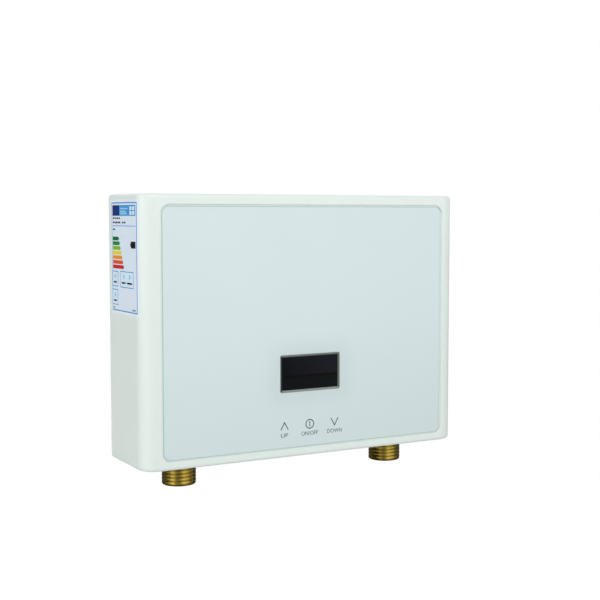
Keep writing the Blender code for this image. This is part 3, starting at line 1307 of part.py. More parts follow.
def build_board_parts():
    for word, share in zip(("left", "right"), TRIAC_PLACE_SHARES):
        triac = block_on_board("triac_" + word, TRIAC_SIZE_SHARE, TRIAC_HEIGHT, share, LOOKS["module_black"])
        x, z = on_board(share)
        width = board_size(TRIAC_SIZE_SHARE)[0]
        tab = (width, TRIAC_TAB_HEIGHT, TRIAC_TAB_THICKNESS)
        middle = PART_BACK - TRIAC_HEIGHT - TRIAC_TAB_HEIGHT / 2 + ROOT
        join(triac, boxes("triac_tab_" + word, [(tab, (x, middle, z))]))
    for word, share in zip(("left", "right"), RELAY_PLACE_SHARES):
        relay = block_on_board("relay_" + word, RELAY_SIZE_SHARE, RELAY_HEIGHT, share, LOOKS["relay_blue"])
        round_edges(relay, BLOCK_BEVEL, 2)
    core = block_on_board("supply_transformer", TRANSFORMER_SIZE_SHARE, TRANSFORMER_HEIGHT,
                          TRANSFORMER_PLACE_SHARE, LOOKS["coil_yellow"])
    join(core, block_on_board("transformer_bobbin", BOBBIN_SIZE_SHARE, BOBBIN_HEIGHT, TRANSFORMER_PLACE_SHARE,
                              back=PART_BACK - GAP))
    x, z = on_board(CAPACITOR_PLACE_SHARE)
    profile = ((0, CAPACITOR_LENGTH), (CAPACITOR_RADIUS - CAPACITOR_CROWN, CAPACITOR_LENGTH),
               (CAPACITOR_RADIUS, CAPACITOR_LENGTH - CAPACITOR_CROWN), (CAPACITOR_RADIUS, 0), (0, 0))
    turned("supply_capacitor", profile, (x, PART_BACK, z), (0, -1, 0), LOOKS["sensor_black"], COARSE)


def coil_centre():
    x, z = on_board(COIL_PLACE_SHARE)
    return Vector((x, PART_BACK - COIL_RADIUS, z))


def build_leakage_coil():
    """Ring core that both mains leads pass through, standing on the board."""
    half = COIL_THICKNESS / 2
    soft = BLOCK_BEVEL
    profile = ((COIL_RADIUS - soft, half), (COIL_RADIUS, half - soft), (COIL_RADIUS, soft - half),
               (COIL_RADIUS - soft, -half), (COIL_BORE_RADIUS, -half), (COIL_BORE_RADIUS, half))
    turned("leakage_coil", profile, coil_centre(), (1, 0, 0), LOOKS["coil_yellow"], MEDIUM, True)


def terminal_centre():
    x, z = on_board(TERMINAL_PLACE_SHARE)
    return Vector((x, PART_BACK - TERMINAL_HEIGHT / 2, z))


def build_terminal_block():
    """Screw terminals for the supply cable: a block with a well over each screw."""
    centre = terminal_centre()
    block = block_on_board("terminal_block", TERMINAL_SIZE_SHARE, TERMINAL_HEIGHT, TERMINAL_PLACE_SHARE,
                           LOOKS["rotor_white"])
    round_edges(block, TERMINAL_BEVEL, 1)
    front = centre.y - TERMINAL_HEIGHT / 2
    pitch = board_size(TERMINAL_SIZE_SHARE)[0] / TERMINAL_WAYS
    radius = pitch * TERMINAL_WELL_SHARE
    wells = []
    for way in range(TERMINAL_WAYS):
        x = centre.x + (way - (TERMINAL_WAYS - 1) / 2) * pitch
        wells.append((radius, (x, front - OVERRUN, centre.z), (x, front + TERMINAL_WELL_DEPTH, centre.z)))
    cut(block, rods("terminal_wells", wells))


def build_grommet():
    """Rubber bush for the supply cable, gripped by the edge of its tongue."""
    low = BOTTOM
    top = FLOOR_INSIDE + GAP
    outer = GROMMET_RADIUS
    flange = GROMMET_RADIUS + TONGUE_MARGIN - GAP
    profile = ((outer, top + GROMMET_FLANGE), (flange, top + GROMMET_FLANGE - GROMMET_LIP), (flange, top),
               (outer, top), (outer, low), (GROMMET_BORE_RADIUS, low),
               (GROMMET_BORE_RADIUS, top + GROMMET_FLANGE))
    turned("cable_grommet", profile, (GROMMET_OFFSET, -GROMMET_FROM_WALL, 0), (0, 0, 1), LOOKS["rubber"],
           MEDIUM, True)


def pin_tip(word, side):
    """The outer end of an element's terminal pin."""
    height = dict(element_places())[word]
    return Vector((ELEMENT_TAIL_END - PIN_LENGTH, TANK_AXIS.y + side * ELEMENT_HALF_PITCH, height))


def build_neutral_link():
    """A strip that joins the front pins of the two elements."""
    upper = pin_tip("upper", -1)
    lower = pin_tip("lower", -1)
    width = 2 * (PIN_RADIUS + LINK_RIM)
    height = upper.z - lower.z + width
    middle = (upper.y, (upper.z + lower.z) / 2)
    outline = rounded_rectangle(width, height, LINK_CORNER, middle)
    holes = [circle(PIN_RADIUS + GAP, (upper.y, tip.z), SMALL) for tip in (upper, lower)]
    start = upper.x + LINK_THICKNESS
    slab("neutral_link", [outline] + holes, start, start + LINK_THICKNESS, FACING_SIDE, LOOKS["copper"])


def lead(name, start, leave, ways, end, arrive, look):
    """An insulated lead, straight where it leaves and arrives and smooth between."""
    start = Vector(start)
    end = Vector(end)
    first = start + Vector(leave) * LEAD_STRAIGHT
    last = end - Vector(arrive) * LEAD_STRAIGHT
    route = smooth_route([start, first] + ways + [last, end])
    tube(name, [start] + route[LEAD_STEPS:-LEAD_STEPS] + [end], LEAD_RADIUS, look, LEAD_RESOLUTION)


def up_to_pin(tip, lane):
    """The way of a lead that comes up along the left wall and turns in to a pin."""
    reach = (tip.x - LEAD_STRAIGHT - lane) * TURN_IN_SHARE
    return [(lane, tip.y, tip.z - LEAD_TURN), (lane + reach, tip.y, tip.z - LEAD_TURN * TURN_UP_SHARE)]


def build_leads():
    """Insulated leads inside the case, each whole from end to end."""
    coil = coil_centre()
    block = terminal_centre()
    block_width, block_length = board_size(TERMINAL_SIZE_SHARE)
    left = block.x - block_width / 2 - GAP
    lane = CASE_WALL + LEAD_WALL_CLEARANCE + LEAD_RADIUS - HALF_WIDTH
    low = LEAD_SPACING / 2
    past = coil.x - COIL_THICKNESS
    pipe_lane = (COVER_INSIDE - FITTING_FROM_WALL - PIPE_RADIUS) / 2
    board_lane = (DISPLAY_BOARD_BACK + PART_BACK - BOBBIN_HEIGHT) / 2
    rear_lane = (PART_BACK - FITTING_FROM_WALL + PIPE_RADIUS) / 2
    gap = Vector((GAP, 0, 0))
    rise = coil.z + COIL_RADIUS
    lead("live_lead", (left, coil.y, coil.z + low), (-1, 0, 0),
         [(coil.x, coil.y, coil.z + low), (past, coil.y, coil.z + low)],
         (past - COIL_RADIUS / 2, PART_BACK, rise), (0, 1, 0), LOOKS["lead_brown"])
    tip = pin_tip("lower", -1)
    lead("neutral_lead", (left, coil.y, coil.z - low), (-1, 0, 0),
         [(coil.x, coil.y, coil.z - low), (past, coil.y, coil.z - low), (OUTLET_PORT_X, pipe_lane, coil.z),
          (-FITTING_X, pipe_lane, rise), (lane, pipe_lane, coil.z / 3)] + up_to_pin(tip, lane),
         tip - gap, (1, 0, 0), LOOKS["lead_blue"])
    edge = -POWER_BOARD_WIDTH / 2 + 2 * LEAD_RADIUS
    for number, word in enumerate(("upper", "lower")):
        tip = pin_tip(word, 1)
        level = on_board(TRIAC_PLACE_SHARES[0])[1] + (2 * number - 1) * LEAD_SPACING
        track = lane + number * LEAD_SPACING
        lead("element_lead_" + word, (edge, PART_BACK, level), (0, -1, 0),
             [(-FITTING_X, rear_lane, level + LEAD_SPACING), (track, rear_lane, level / 3)]
             + up_to_pin(tip, track), tip - gap, (1, 0, 0), LOOKS["lead_brown"])
    top = block.z + block_length / 2 + GAP
    clip = TANK_BOTTOM - EARTH_BOSS_LENGTH - EARTH_HEAD_THICKNESS - 2 * GAP
    side = block.x + block_width / TERMINAL_WAYS
    lead("earth_lead", (side, block.y, top), (0, 0, 1),
         [(side, board_lane, top + COIL_RADIUS), ((side + TANK_MIDDLE) / 2, board_lane, (top + clip) / 2),
          (TANK_MIDDLE, (board_lane + TANK_AXIS.y) / 2, clip - COIL_RADIUS)],
         (TANK_MIDDLE, TANK_AXIS.y, clip), (0, 0, 1), LOOKS["lead_green"])


def build_ribbon():
    """Flat cable that joins the display board to the power board."""
    front = DISPLAY_BOARD_BACK + GAP
    back = PART_BACK
    coil_edge = coil_centre().x + COIL_THICKNESS / 2
    block_edge = terminal_centre().x - board_size(TERMINAL_SIZE_SHARE)[0] / 2
    x = (coil_edge + block_edge) / 2
    high = DISPLAY_BOARD_CENTRE + RIBBON_RISE
    low = on_board((0, RIBBON_FOOT_SHARE))[1]
    path = []
    for step in range(RIBBON_STEPS + 1):
        share = step / RIBBON_STEPS
        ease = share * share * (3 - 2 * share)
        path.append((front + (back - front) * share, high + (low - high) * ease))
    band("ribbon_cable", path, x, RIBBON_WIDTH, RIBBON_THICKNESS, (back, low), LOOKS["ribbon_grey"])


def build_all():
    build_front_cover()
    build_back_plate()
    build_case_seal()
    build_case_screws()
    build_glass()
    build_display()
    build_touch_springs()
    inlet_top, outlet_top = build_fittings()
    build_filter()
    sensor_top = build_flow_sensor(inlet_top)
    build_tank()
    build_tank_cap()
    build_elements()
    build_straps()
    build_cutout()
    build_probes()
    build_earth_screw()
    build_pipes(sensor_top, outlet_top)
    build_power_board()
    build_heat_sink()
    build_board_parts()
    build_leakage_coil()
    build_terminal_block()
    build_grommet()
    build_neutral_link()
    build_leads()
    build_ribbon()


clear_scene()
PARTS = new_collection("tankless_water_heater")
TOOLS = new_collection("cutters")
LOOKS = looks()
build_all()
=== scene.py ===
"""Looks of a wall-hung tankless water heater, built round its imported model.

Metres, +Z up. The origin is the middle of the back, +X points to the viewer's right and the
glass faces -Y. Colours from 0 to 255 are as they look, and those from 0 to 1 are linear light.
"""

import math

import bmesh
import bpy
from mathutils import Matrix, Vector


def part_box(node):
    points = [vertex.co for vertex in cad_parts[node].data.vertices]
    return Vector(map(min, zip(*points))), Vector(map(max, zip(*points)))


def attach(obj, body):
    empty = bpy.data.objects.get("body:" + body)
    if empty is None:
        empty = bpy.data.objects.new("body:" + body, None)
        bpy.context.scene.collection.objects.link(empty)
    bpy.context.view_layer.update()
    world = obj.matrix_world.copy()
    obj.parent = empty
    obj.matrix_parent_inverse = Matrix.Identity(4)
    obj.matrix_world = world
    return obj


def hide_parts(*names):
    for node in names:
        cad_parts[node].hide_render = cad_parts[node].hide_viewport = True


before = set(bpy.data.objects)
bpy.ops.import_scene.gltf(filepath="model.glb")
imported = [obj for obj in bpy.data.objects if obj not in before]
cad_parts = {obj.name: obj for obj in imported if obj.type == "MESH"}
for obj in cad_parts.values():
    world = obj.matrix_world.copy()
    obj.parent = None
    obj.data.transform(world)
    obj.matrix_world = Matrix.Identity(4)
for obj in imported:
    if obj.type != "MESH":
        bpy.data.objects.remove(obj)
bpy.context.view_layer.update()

# Shading
SHARP_ANGLE = math.radians(32)

# Case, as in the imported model
CASE_WALL = 0.0024
SIDE_FILLET = 0.0107
EDGE_FILLET = 0.0022
CAVITY_FILLET = 0.0030
REBATE_WALL = 0.0012
REBATE_DEPTH = 0.0105
REBATE_CORNER = 0.0023
GLASS_CORNER = 0.0050
GLASS_CLEARANCE = 0.0009
GLASS_ARRIS = 0.0003
GLASS_FIT = 0.00002
GROOVE_DEPTH = 0.00085
LIP_RADIUS = 0.0008
GAP = 0.0003
OVERRUN = 0.0010
ROOT = 0.0006
POST_RADIUS = 0.0040
PLATE_BEHIND_GLASS = 0.0022
TOUCH_HOLE_RADIUS = 0.0056
WAY_CLEARANCE = 0.0033
GROMMET_NECK = 0.0072
FILLET_STEPS = 24
EDGE_STEPS = 8
CORNER_STEPS = 12
LIP_STEPS = 5
LIP_SWEEP = 78
LIP_FLARE = 1.1
# Reach of the painted shade in the groove round the glass
GROOVE_SHADE_FADE = (-0.0007, -0.0003)
GROOVE_SHADE_DEPTHS = (GROOVE_DEPTH * 0.3, GROOVE_DEPTH * 0.7)
GROUND_EDGE = 0.0007
CASE_WHITE = (229, 239, 234)
# Grey of the painted shade in the groove round the glass
GROOVE_PAINTED_SHADE_GREY = (200, 213, 211)
PLATE_WHITE = (219, 226, 222)
GLASS_PALE = (215, 230, 231)
GLASS_GREEN = (186, 212, 208)
# Share of the glass's colour left at its bottom by painted shade
GLASS_PAINTED_LOW_SHADE = 0.950

# Brass fittings
PIPE_THREAD_RADIUS = 0.020955 / 2
THREAD_PITCH = 0.0022
THREAD_START = -0.15
THREAD_DEPTH = 0.00019
THREAD_STEPS = 96
THREAD_ROWS = 14
THREAD_FADE = 0.0009
THREAD_SHAPE = 1.4
END_ROUNDING = 0.0012
SOCKET_WALL = 0.0018
SOCKET_DEPTH = 0.0080
SOCKET_SOFTNESS = 0.0004
INLET_SOCKET_RADIUS = 0.0072
OUTLET_SOCKET_RADIUS = 0.0063
FITTING_BORE = 0.0073
FITTING_THROAT = 0.0060
FILTER_STEP = 0.0097
HEX_ACROSS_CORNERS = 0.0264
HEX_THICKNESS = 0.0032
HEX_CHAMFER = 0.0012
HEX_SHARP_ANGLE = math.radians(50)
BRASS = (0.44, 0.305, 0.052)
BRASS_TONES = ((0.56, 0.40, 0.074), (0.48, 0.33, 0.052))
# Brown of the painted shade and grime in the thread's roots
ROOT_GRIME_AND_SHADE_BROWN = (0.20, 0.13, 0.020)
# Brown of the painted shade near the case and at the end rim
PAINTED_SHADE_BROWN = (0.14, 0.095, 0.016)
# Share and reach of the painted shade and grime in the thread's roots
ROOT_GRIME_AND_SHADE_SHARE = 0.50
ROOT_SHADE = (THREAD_DEPTH, THREAD_DEPTH * 0.35)
ROOT_LIMIT = (THREAD_DEPTH * 1.7, THREAD_DEPTH * 1.1)
# Painted shade toward the case above and at the end rim
UNDER_CASE_PAINTED_SHADE = 0.40
CASE_SHADE = (0.0020, 0.0155)
END_RIM_PAINTED_SHADE = 0.85
RIM_SHADE = (0.0006, 0.0014)

# Display
BEZEL_EDGE = 0.00022
BEZEL_FLAT = 0.00085
BEZEL_WIDTH = 0.00135
BEZEL_CORNER = 0.0011
BEZEL_STEPS = 6
WINDOW_EDGE = 0.00015
# Painted reflection on the smoked window: split of its halves, their tones and the dark line between; the
# window also darkens toward the left
REFLECTION_SPLIT_DROP = 0.0019
REFLECTION_SPLIT_SOFTNESS = 0.0004
REFLECTION_LINE_SPREAD = (0.0002, 0.0011)
WINDOW_LEFT_SPAN = (-0.020, 0.012)
SCREEN_BLACK = (0.006, 0.007, 0.010)
PAINTED_REFLECTION_TONES = ((0.0055, 0.0075, 0.0085), (0.010, 0.012, 0.016))
WINDOW_LEFT_DARK = (0.0035, 0.0050, 0.0065)
REFLECTION_LINE_DARK = (0.002, 0.0025, 0.003)
TRIM_MITRE = 0.0001
TRIM_TURN = 0.001
TRIM_GREY = (164, 172, 165)
# Painted light and shade of the frame's bars: a lit lower bar, a shaded upper bar, and side bars shaded
# from dark at the left to lighter at the right
TRIM_LOWER_LIT_TONES = ((126, 134, 128), (142, 150, 144))
TRIM_UPPER_SHADED_TONES = ((104, 110, 105), (120, 126, 121))
TRIM_SIDES_SHADED_TONES = ((40, 47, 44), (100, 110, 105))

# Printed keys
PRINT_GREY = (66, 78, 78)
PRINT_THICKNESS = 0.00006
PRINT_SUNK = PRINT_THICKNESS / 4
MITRE_LIMIT = 0.5
STROKE = 0.00056
KEY_SPACING = 0.0178
CHEVRON_HALF_WIDTH = 0.00255
CHEVRON_HEIGHT = 0.0045
SYMBOL_RISE = 0.0006
KEY_SHIFT = -0.0004
RING_RADIUS = 0.00275
RING_POINTS = 48
BAR_HEIGHT = 0.0034
WORD_DROP = 0.0057
WORD_HEIGHT = 0.0024
WORD_THIN = -0.006
WORD_WELD = 0.0001
KEY_WORDS = (("up", "UP", -1, 0.0050), ("power", "ON/OFF", 0, 0.0118), ("down", "DOWN", 1, 0.0104))

# Label on the left side
WRAP_STEPS = 6
LABEL_LIFT = 0.00004
LABEL_LAYER = 0.00002
LABEL_FRONT = -0.0050
LABEL_BACK = -0.0452
LABEL_LOW = 0.0110
LABEL_HIGH = 0.0755
LABEL_MARGIN = 0.0014
LABEL_LINE = 0.0007
LABEL_INSET = 0.0016
LABEL_COLOURS = (
    ("paper", (232, 240, 246)), ("ground", (218, 231, 243)), ("blue", (66, 150, 214)),
    ("navy", (26, 50, 120)), ("pale", (214, 232, 246)), ("dark_green", (0, 112, 48)),
    ("green", (34, 138, 44)), ("light_green", (128, 184, 40)), ("yellow", (232, 212, 30)),
    ("orange", (232, 146, 40)), ("deep_orange", (218, 84, 44)), ("red", (200, 40, 40)),
    ("black", (24, 26, 30)), ("grey", (58, 64, 74)), ("mist", (138, 148, 160)),
    ("sky", (150, 203, 237)),
)
BAND_BELOW_TOP = (0.0080, 0.0017)
BAND_SPLIT = 0.0129
SQUARES_PLACE = (0.0028, 0.0006)
SQUARES_PITCH = (0.0044, 0.0027)
SQUARE_SIZE = (0.0034, 0.0022)
STRIPES = ((0.0038, 0.0122), (0.0021, 0.0098), (0.0009, 0.0110))
STRIPE_INSET = 0.0014
STRIPE_HEIGHT = 0.0009
RULE_HEIGHTS = (0.0614, 0.0618)
DASH_HEIGHT = 0.0010
LABEL_DASHES = (
    (0.0656, "grey", ((0.0072, 0.0098), (0.0106, 0.0128), (0.0136, 0.0160), (0.0168, 0.0190))),
    (0.0631, "grey", ((0.0072, 0.0104), (0.0112, 0.0150), (0.0158, 0.0196), (0.0222, 0.0244),
                      (0.0252, 0.0280))),
    (0.0590, "grey", ((0.0072, 0.0104),)),
    (0.0276, "mist", ((0.0078, 0.0126), (0.0210, 0.0272), (0.0296, 0.0376))),
    (0.0166, "mist", ((0.0078, 0.0122),)),
    (0.0124, "mist", ((0.0070, 0.0094), (0.0376, 0.0428))),
)
GRADES = ("dark_green", "green", "light_green", "yellow", "orange", "deep_orange", "red")
GRADE_TOP = 0.0540
GRADE_PITCH = 0.00278
GRADE_HEIGHT = 0.0022
GRADE_START = -0.0066
GRADE_SHORTEST = 0.0106
GRADE_GROWTH = 0.00131
GRADE_POINT = 0.0012
MARKER = ((-0.0436, 0.0487), (-0.0368, 0.0487), (-0.0351, 0.0507), (-0.0368, 0.0527), (-0.0436, 0.0527))
BOXES = ((-0.0150, -0.0056, 0.0255, 0.0347), (-0.0400, -0.0186, 0.0253, 0.0350),
         (-0.0146, -0.0053, 0.0145, 0.0239))
BOX_LINE = LABEL_LINE * 0.7
DOTS = ((-0.0102, 0.0316), (-0.0246, 0.0318), (-0.0338, 0.0318), (-0.0100, 0.0206))
DOT_RADIUS = 0.0014
DOT_STEPS = 12

# Case screws
SCREW_WORDS = ("bottom_left", "top_left", "bottom_right", "top_right")
SCREW_STEPS = 32
HEAD_RADIUS = 0.0028
HEAD_HEIGHT = 0.0022
HEAD_DOME = ((1, 0.0009), (0.93, 0.0005), (0.72, 0.0002), (0.4, 0.00005))
SHANK_RADIUS = 0.0015
SHANK_POINT = ((0.4, 0.0008), (1, 0.0030))
TIP_RADIUS = 0.00005
CROSS_WIDTH = 0.0009
CROSS_REACH = 0.0019
CROSS_DEPTH = 0.0012
CROSS_CORNER = CROSS_WIDTH / 3
CROSS_STEPS = 3

# Finishes inside the case
MASK_GREEN = (0.02, 0.15, 0.06)
BOARD_TONES = ((0.05, 0.24, 0.10), (0.015, 0.12, 0.05))
RIBBON_GREY = (0.36, 0.36, 0.37)
RIBBON_TONES = ((0.28, 0.28, 0.29), (0.40, 0.40, 0.41))
RIBBON_WIRES = 240.0
PLAIN_LOOKS = (
    ("tape", (0.045, 0.045, 0.048), 0.85, {"tone": 0.2, "grain": 1600, "depth": 0.0001}),
    ("module_black", (0.02, 0.02, 0.022), 0.42, {"tone": 0.15}),
    ("sensor_black", (0.03, 0.03, 0.032), 0.50, {"tone": 0.12}),
    ("rotor_white", (0.70, 0.70, 0.67), 0.42, {"tone": 0.03}),
    ("rubber", (0.028, 0.028, 0.030), 0.72, {"tone": 0.15, "grain": 1500, "depth": 0.00006}),
    ("phenolic", (0.055, 0.032, 0.022), 0.40, {"tone": 0.35, "marks": 260}),
    ("button_red", (0.52, 0.02, 0.02), 0.34, {"tone": 0.06}),
    ("relay_blue", (0.02, 0.11, 0.38), 0.30, {"tone": 0.06}),
    ("coil_yellow", (0.62, 0.40, 0.04), 0.38, {"tone": 0.10}),
    ("lead_brown", (0.17, 0.065, 0.022), 0.45, {"tone": 0.08}),
    ("lead_blue", (0.02, 0.12, 0.46), 0.45, {"tone": 0.08}),
    ("lead_green", (0.09, 0.38, 0.06), 0.45, {"tone": 0.12}),
)
METAL_LOOKS = (
    ("spring_steel", (0.60, 0.60, 0.60), 0.24, (1, 0.2, 1)),
    ("stainless", (0.56, 0.56, 0.55), 0.28, (0.1, 1, 1)),
    ("copper", (0.66, 0.34, 0.21), 0.26, (1, 1, 0.2)),
    ("aluminium", (0.64, 0.65, 0.66), 0.36, (1, 1, 0.1)),
)

# Camera
CAMERA_PLACE = (-0.35353, -0.66982, 0.06823)
CAMERA_YAW = math.radians(29.302)
CAMERA_PITCH = math.radians(-4.206)
CAMERA_LENS = 69.683
CAMERA_NEAR = 0.01
SENSOR_WIDTH = 36.0

# Studio
FLOOR_HEIGHT = -0.340
FLOOR_SIZE = 12.0
FLOOR_TONE = 0.93
FLOOR_FADE = (0.30, 0.75)
FLOOR_GLOW = (0.42, 1.0)
WORLD_LEVEL = 0.46
LAMP_TARGET = (0, -0.03, 0)
LAMPS = (
    ("key_lamp", (-0.05, -0.73, 0.52), 0.50, 0.35, 3.26),
    ("fill_lamp", (1.00, -1.00, 0.30), 0.4, 0.6, 1.05),
    ("left_lamp", (-1.30, 0.08, 0.36), 0.4, 0.7, 5.3),
    ("right_lamp", (1.30, 0.35, 0.30), 0.4, 0.7, 1.6),
    ("back_lamp", (0.30, 1.30, 0.45), 0.7, 0.5, 2.0),
)
RING_REACH = 1.20
RING_LOW = -0.300
RING_HIGH = 0.870
RING_FADE = 0.330
RING_CENTRE = (0.0, -0.03)
RING_LIGHT = ((100, 0.10), (166, 0.10), (184, 0.40), (198, 1.42), (209, 1.38), (221, 0.34), (247, 0.24),
              (262, 0.80), (274, 1.42), (290, 1.15), (312, 0.74), (326, 0.20), (360, 0.12), (460, 0.10))
LOW_SHARES = (0.06, 0.95)
LOW_SPREAD = (0.20, 0.95)
LOW_LEAST = 0.06
CARD_PLACE = (0.2277, -0.0913)
CARD_SIZE = (0.104, 0.070)
CARD_CORNER = 0.01
CARD_FADE = 0.018
CARD_DEPTH = -0.45
CARD_LIGHT = 0.08
BETWEEN_PLACE = (-0.030, -0.185)
BETWEEN_SIZE = (0.060, 0.200)
BETWEEN_CORNER = 0.004
BETWEEN_X = 0.030
BETWEEN_LIGHT = (0.40, 0.03)
BETWEEN_FADE = (-0.052, -0.030)


# Frame measures

def centre_of(node):
    low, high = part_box(node)
    return (low + high) / 2


def size_of(node):
    low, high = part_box(node)
    return high - low


CASE_LOW, CASE_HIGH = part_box("front_cover")
HALF_WIDTH = (CASE_HIGH.x - CASE_LOW.x) / 2
HALF_HEIGHT = (CASE_HIGH.z - CASE_LOW.z) / 2
FRONT = CASE_LOW.y
BOTTOM = -HALF_HEIGHT
FLOOR_INSIDE = BOTTOM + CASE_WALL
GLASS_LOW, GLASS_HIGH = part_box("glass_panel")
GLASS_MIDDLE = (GLASS_LOW.z + GLASS_HIGH.z) / 2
TAPE_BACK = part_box("glass_tape")[1].y
RECESS_BACK = TAPE_BACK + GAP
COVER_INSIDE = RECESS_BACK + PLATE_BEHIND_GLASS


# Colour

def linear(colour):
    """Linear light from a colour written as it looks."""
    shares = [value / 255 for value in colour]
    return tuple(share / 12.92 if share <= 0.04045 else ((share + 0.055) / 1.055) ** 2.4
                 for share in shares)


def scaled(colour, factor):
    return tuple(min(1.0, channel * factor) for channel in colour)


# Materials

class Graph:
    """A material and the nodes that are added to it."""

    def __init__(self, name, colour, roughness, metallic=0.0):
        self.look = bpy.data.materials.new(name)
        self.look.use_nodes = True
        self.look.diffuse_color = (*colour, 1.0)
        self.tree = self.look.node_tree
        self.shader = self.tree.nodes["Principled BSDF"]
        self.set("Base Color", (*colour, 1.0))
        self.set("Roughness", roughness)
        self.set("Metallic", metallic)
        self.place = self.add("ShaderNodeTexCoord").outputs["Object"]

    def set(self, socket, value):
        self.shader.inputs[socket].default_value = value

    def add(self, kind, **settings):
        node = self.tree.nodes.new(kind)
        for key, value in settings.items():
            setattr(node, key, value)
        return node

    def feed(self, node, socket, value):
        """Links an output to a socket, or sets it to a plain value."""
        if isinstance(value, bpy.types.NodeSocket):
            self.tree.links.new(value, node.inputs[socket])
        else:
            node.inputs[socket].default_value = value

    def join(self, kind, *values, **settings):
        """The first output of a new node, fed in the order of its sockets."""
        node = self.add(kind, **settings)
        for socket, value in enumerate(values):
            self.feed(node, socket, value)
        return node.outputs[0]

    def noise(self, scale, detail=2.0, stretch=(1, 1, 1)):
        """Cloudy values from 0 to 1, with scale in marks per metre."""
        spread = self.add("ShaderNodeMapping")
        self.feed(spread, "Vector", self.place)
        spread.inputs["Scale"].default_value = stretch
        cloud = self.add("ShaderNodeTexNoise")
        self.feed(cloud, "Vector", spread.outputs[0])
        self.feed(cloud, "Scale", scale)
        self.feed(cloud, "Detail", detail)
        return cloud.outputs["Fac"]

    def cells(self, scale):
        pattern = self.add("ShaderNodeTexVoronoi")
        self.feed(pattern, "Vector", self.place)
        self.feed(pattern, "Scale", scale)
        return pattern.outputs["Distance"]

    def maths(self, operation, first, second=0.0):
        return self.join("ShaderNodeMath", first, second, operation=operation)

    def less(self, first, second):
        return self.maths("SUBTRACT", first, second)

    def spread(self, value, low, high, start=0.3, end=0.7):
        """Stretches a value's range from start..end to low..high."""
        return self.join("ShaderNodeMapRange", value, start, end, low, high)

    def blend(self, share, first, second):
        step = self.add("ShaderNodeMix", data_type="RGBA")
        self.feed(step, "Factor", share)
        for socket, colour in ((6, first), (7, second)):
            self.feed(step, socket, colour if isinstance(colour, bpy.types.NodeSocket) else (*colour, 1.0))
        return step.outputs[2]

    def part(self, axis):
        """One coordinate of the place on the surface."""
        split = self.add("ShaderNodeSeparateXYZ")
        self.feed(split, 0, self.place)
        return split.outputs[axis]

    def reach(self):
        """Distance from the origin."""
        length = self.add("ShaderNodeVectorMath", operation="LENGTH")
        self.feed(length, 0, self.place)
        return length.outputs["Value"]

    def shine(self, strength):
        """White light of its own."""
        return self.join("ShaderNodeEmission", (1, 1, 1, 1), strength)

    def paint(self, colour):
        self.feed(self.shader, "Base Color", colour)

    def polish(self, scale, detail, low, high):
        """Roughness that drifts between two values."""
        self.feed(self.shader, "Roughness", self.spread(self.noise(scale, detail), low, high))

    def relief(self, height, strength, depth):
        """Adds a bump of the given depth on top of any relief that is there."""
        bump = self.add("ShaderNodeBump")
        self.feed(bump, "Height", height)
        self.feed(bump, "Strength", strength)
        self.feed(bump, "Distance", depth)
        before = self.shader.inputs["Normal"].links
        if before:
            self.feed(bump, "Normal", before[0].from_socket)
        self.feed(self.shader, "Normal", bump.outputs[0])


def plain_look(name, colour, roughness, metallic=0.0, tone=0.05, marks=70, grain=900, depth=0.00002):
    """A finish with soft changes of tone and gloss, and a fine grain."""
    graph = Graph(name, colour, roughness, metallic)
    tones = graph.noise(marks, 4.0)
    graph.paint(graph.blend(graph.spread(tones, 0, 1), scaled(colour, 1 - tone), scaled(colour, 1 + tone)))
    graph.polish(marks * 2, 3.0, roughness * 0.85, min(1.0, roughness * 1.2))
    graph.relief(graph.noise(grain, 2.0), 0.35, depth)
    return graph


def case_look():
    """Softly glossy white moulding with the faint ripple of a moulded wall, and painted shade in the groove
    round the glass.
    """
    body = linear(CASE_WHITE)
    graph = Graph("case_white", body, 0.34)
    cloud = graph.spread(graph.noise(25, 4.0), 0, 1)
    face = graph.blend(cloud, scaled(body, 0.994), scaled(body, 1.006))
    # Painted shade: the colour darkens down inside the groove round the glass.
    outside = graph.spread(rim_distance(graph), 1, 0, *GROOVE_SHADE_FADE)
    near = graph.spread(graph.part("Y"), 1, 0, *(FRONT + depth for depth in GROOVE_SHADE_DEPTHS))
    groove_painted_shade = graph.less(1.0, graph.maths("MAXIMUM", outside, near))
    graph.paint(graph.blend(groove_painted_shade, face, linear(GROOVE_PAINTED_SHADE_GREY)))
    graph.polish(50, 3.0, 0.30, 0.40)
    graph.relief(graph.noise(1400, 2.0), 0.35, 0.000008)
    graph.set("Specular IOR Level", 0.45)
    graph.relief(graph.noise(22, 0.0), 0.05, 0.0002)
    return graph.look


def plate_look():
    """Fine spark-eroded texture on the wall side of the case."""
    graph = plain_look("plate_white", linear(PLATE_WHITE), 0.48, tone=0.015, marks=40, grain=2600,
                       depth=0.00005)
    graph.relief(graph.cells(1800), 0.25, 0.00003)
    return graph.look


def rim_distance(graph):
    """How far inside the glass's edge a point lies."""
    across = graph.less(GLASS_HIGH.x, graph.maths("ABSOLUTE", graph.part("X")))
    rise = graph.less(graph.part("Z"), GLASS_MIDDLE)
    up = graph.less((GLASS_HIGH.z - GLASS_LOW.z) / 2, graph.maths("ABSOLUTE", rise))
    return graph.maths("MINIMUM", across, up)


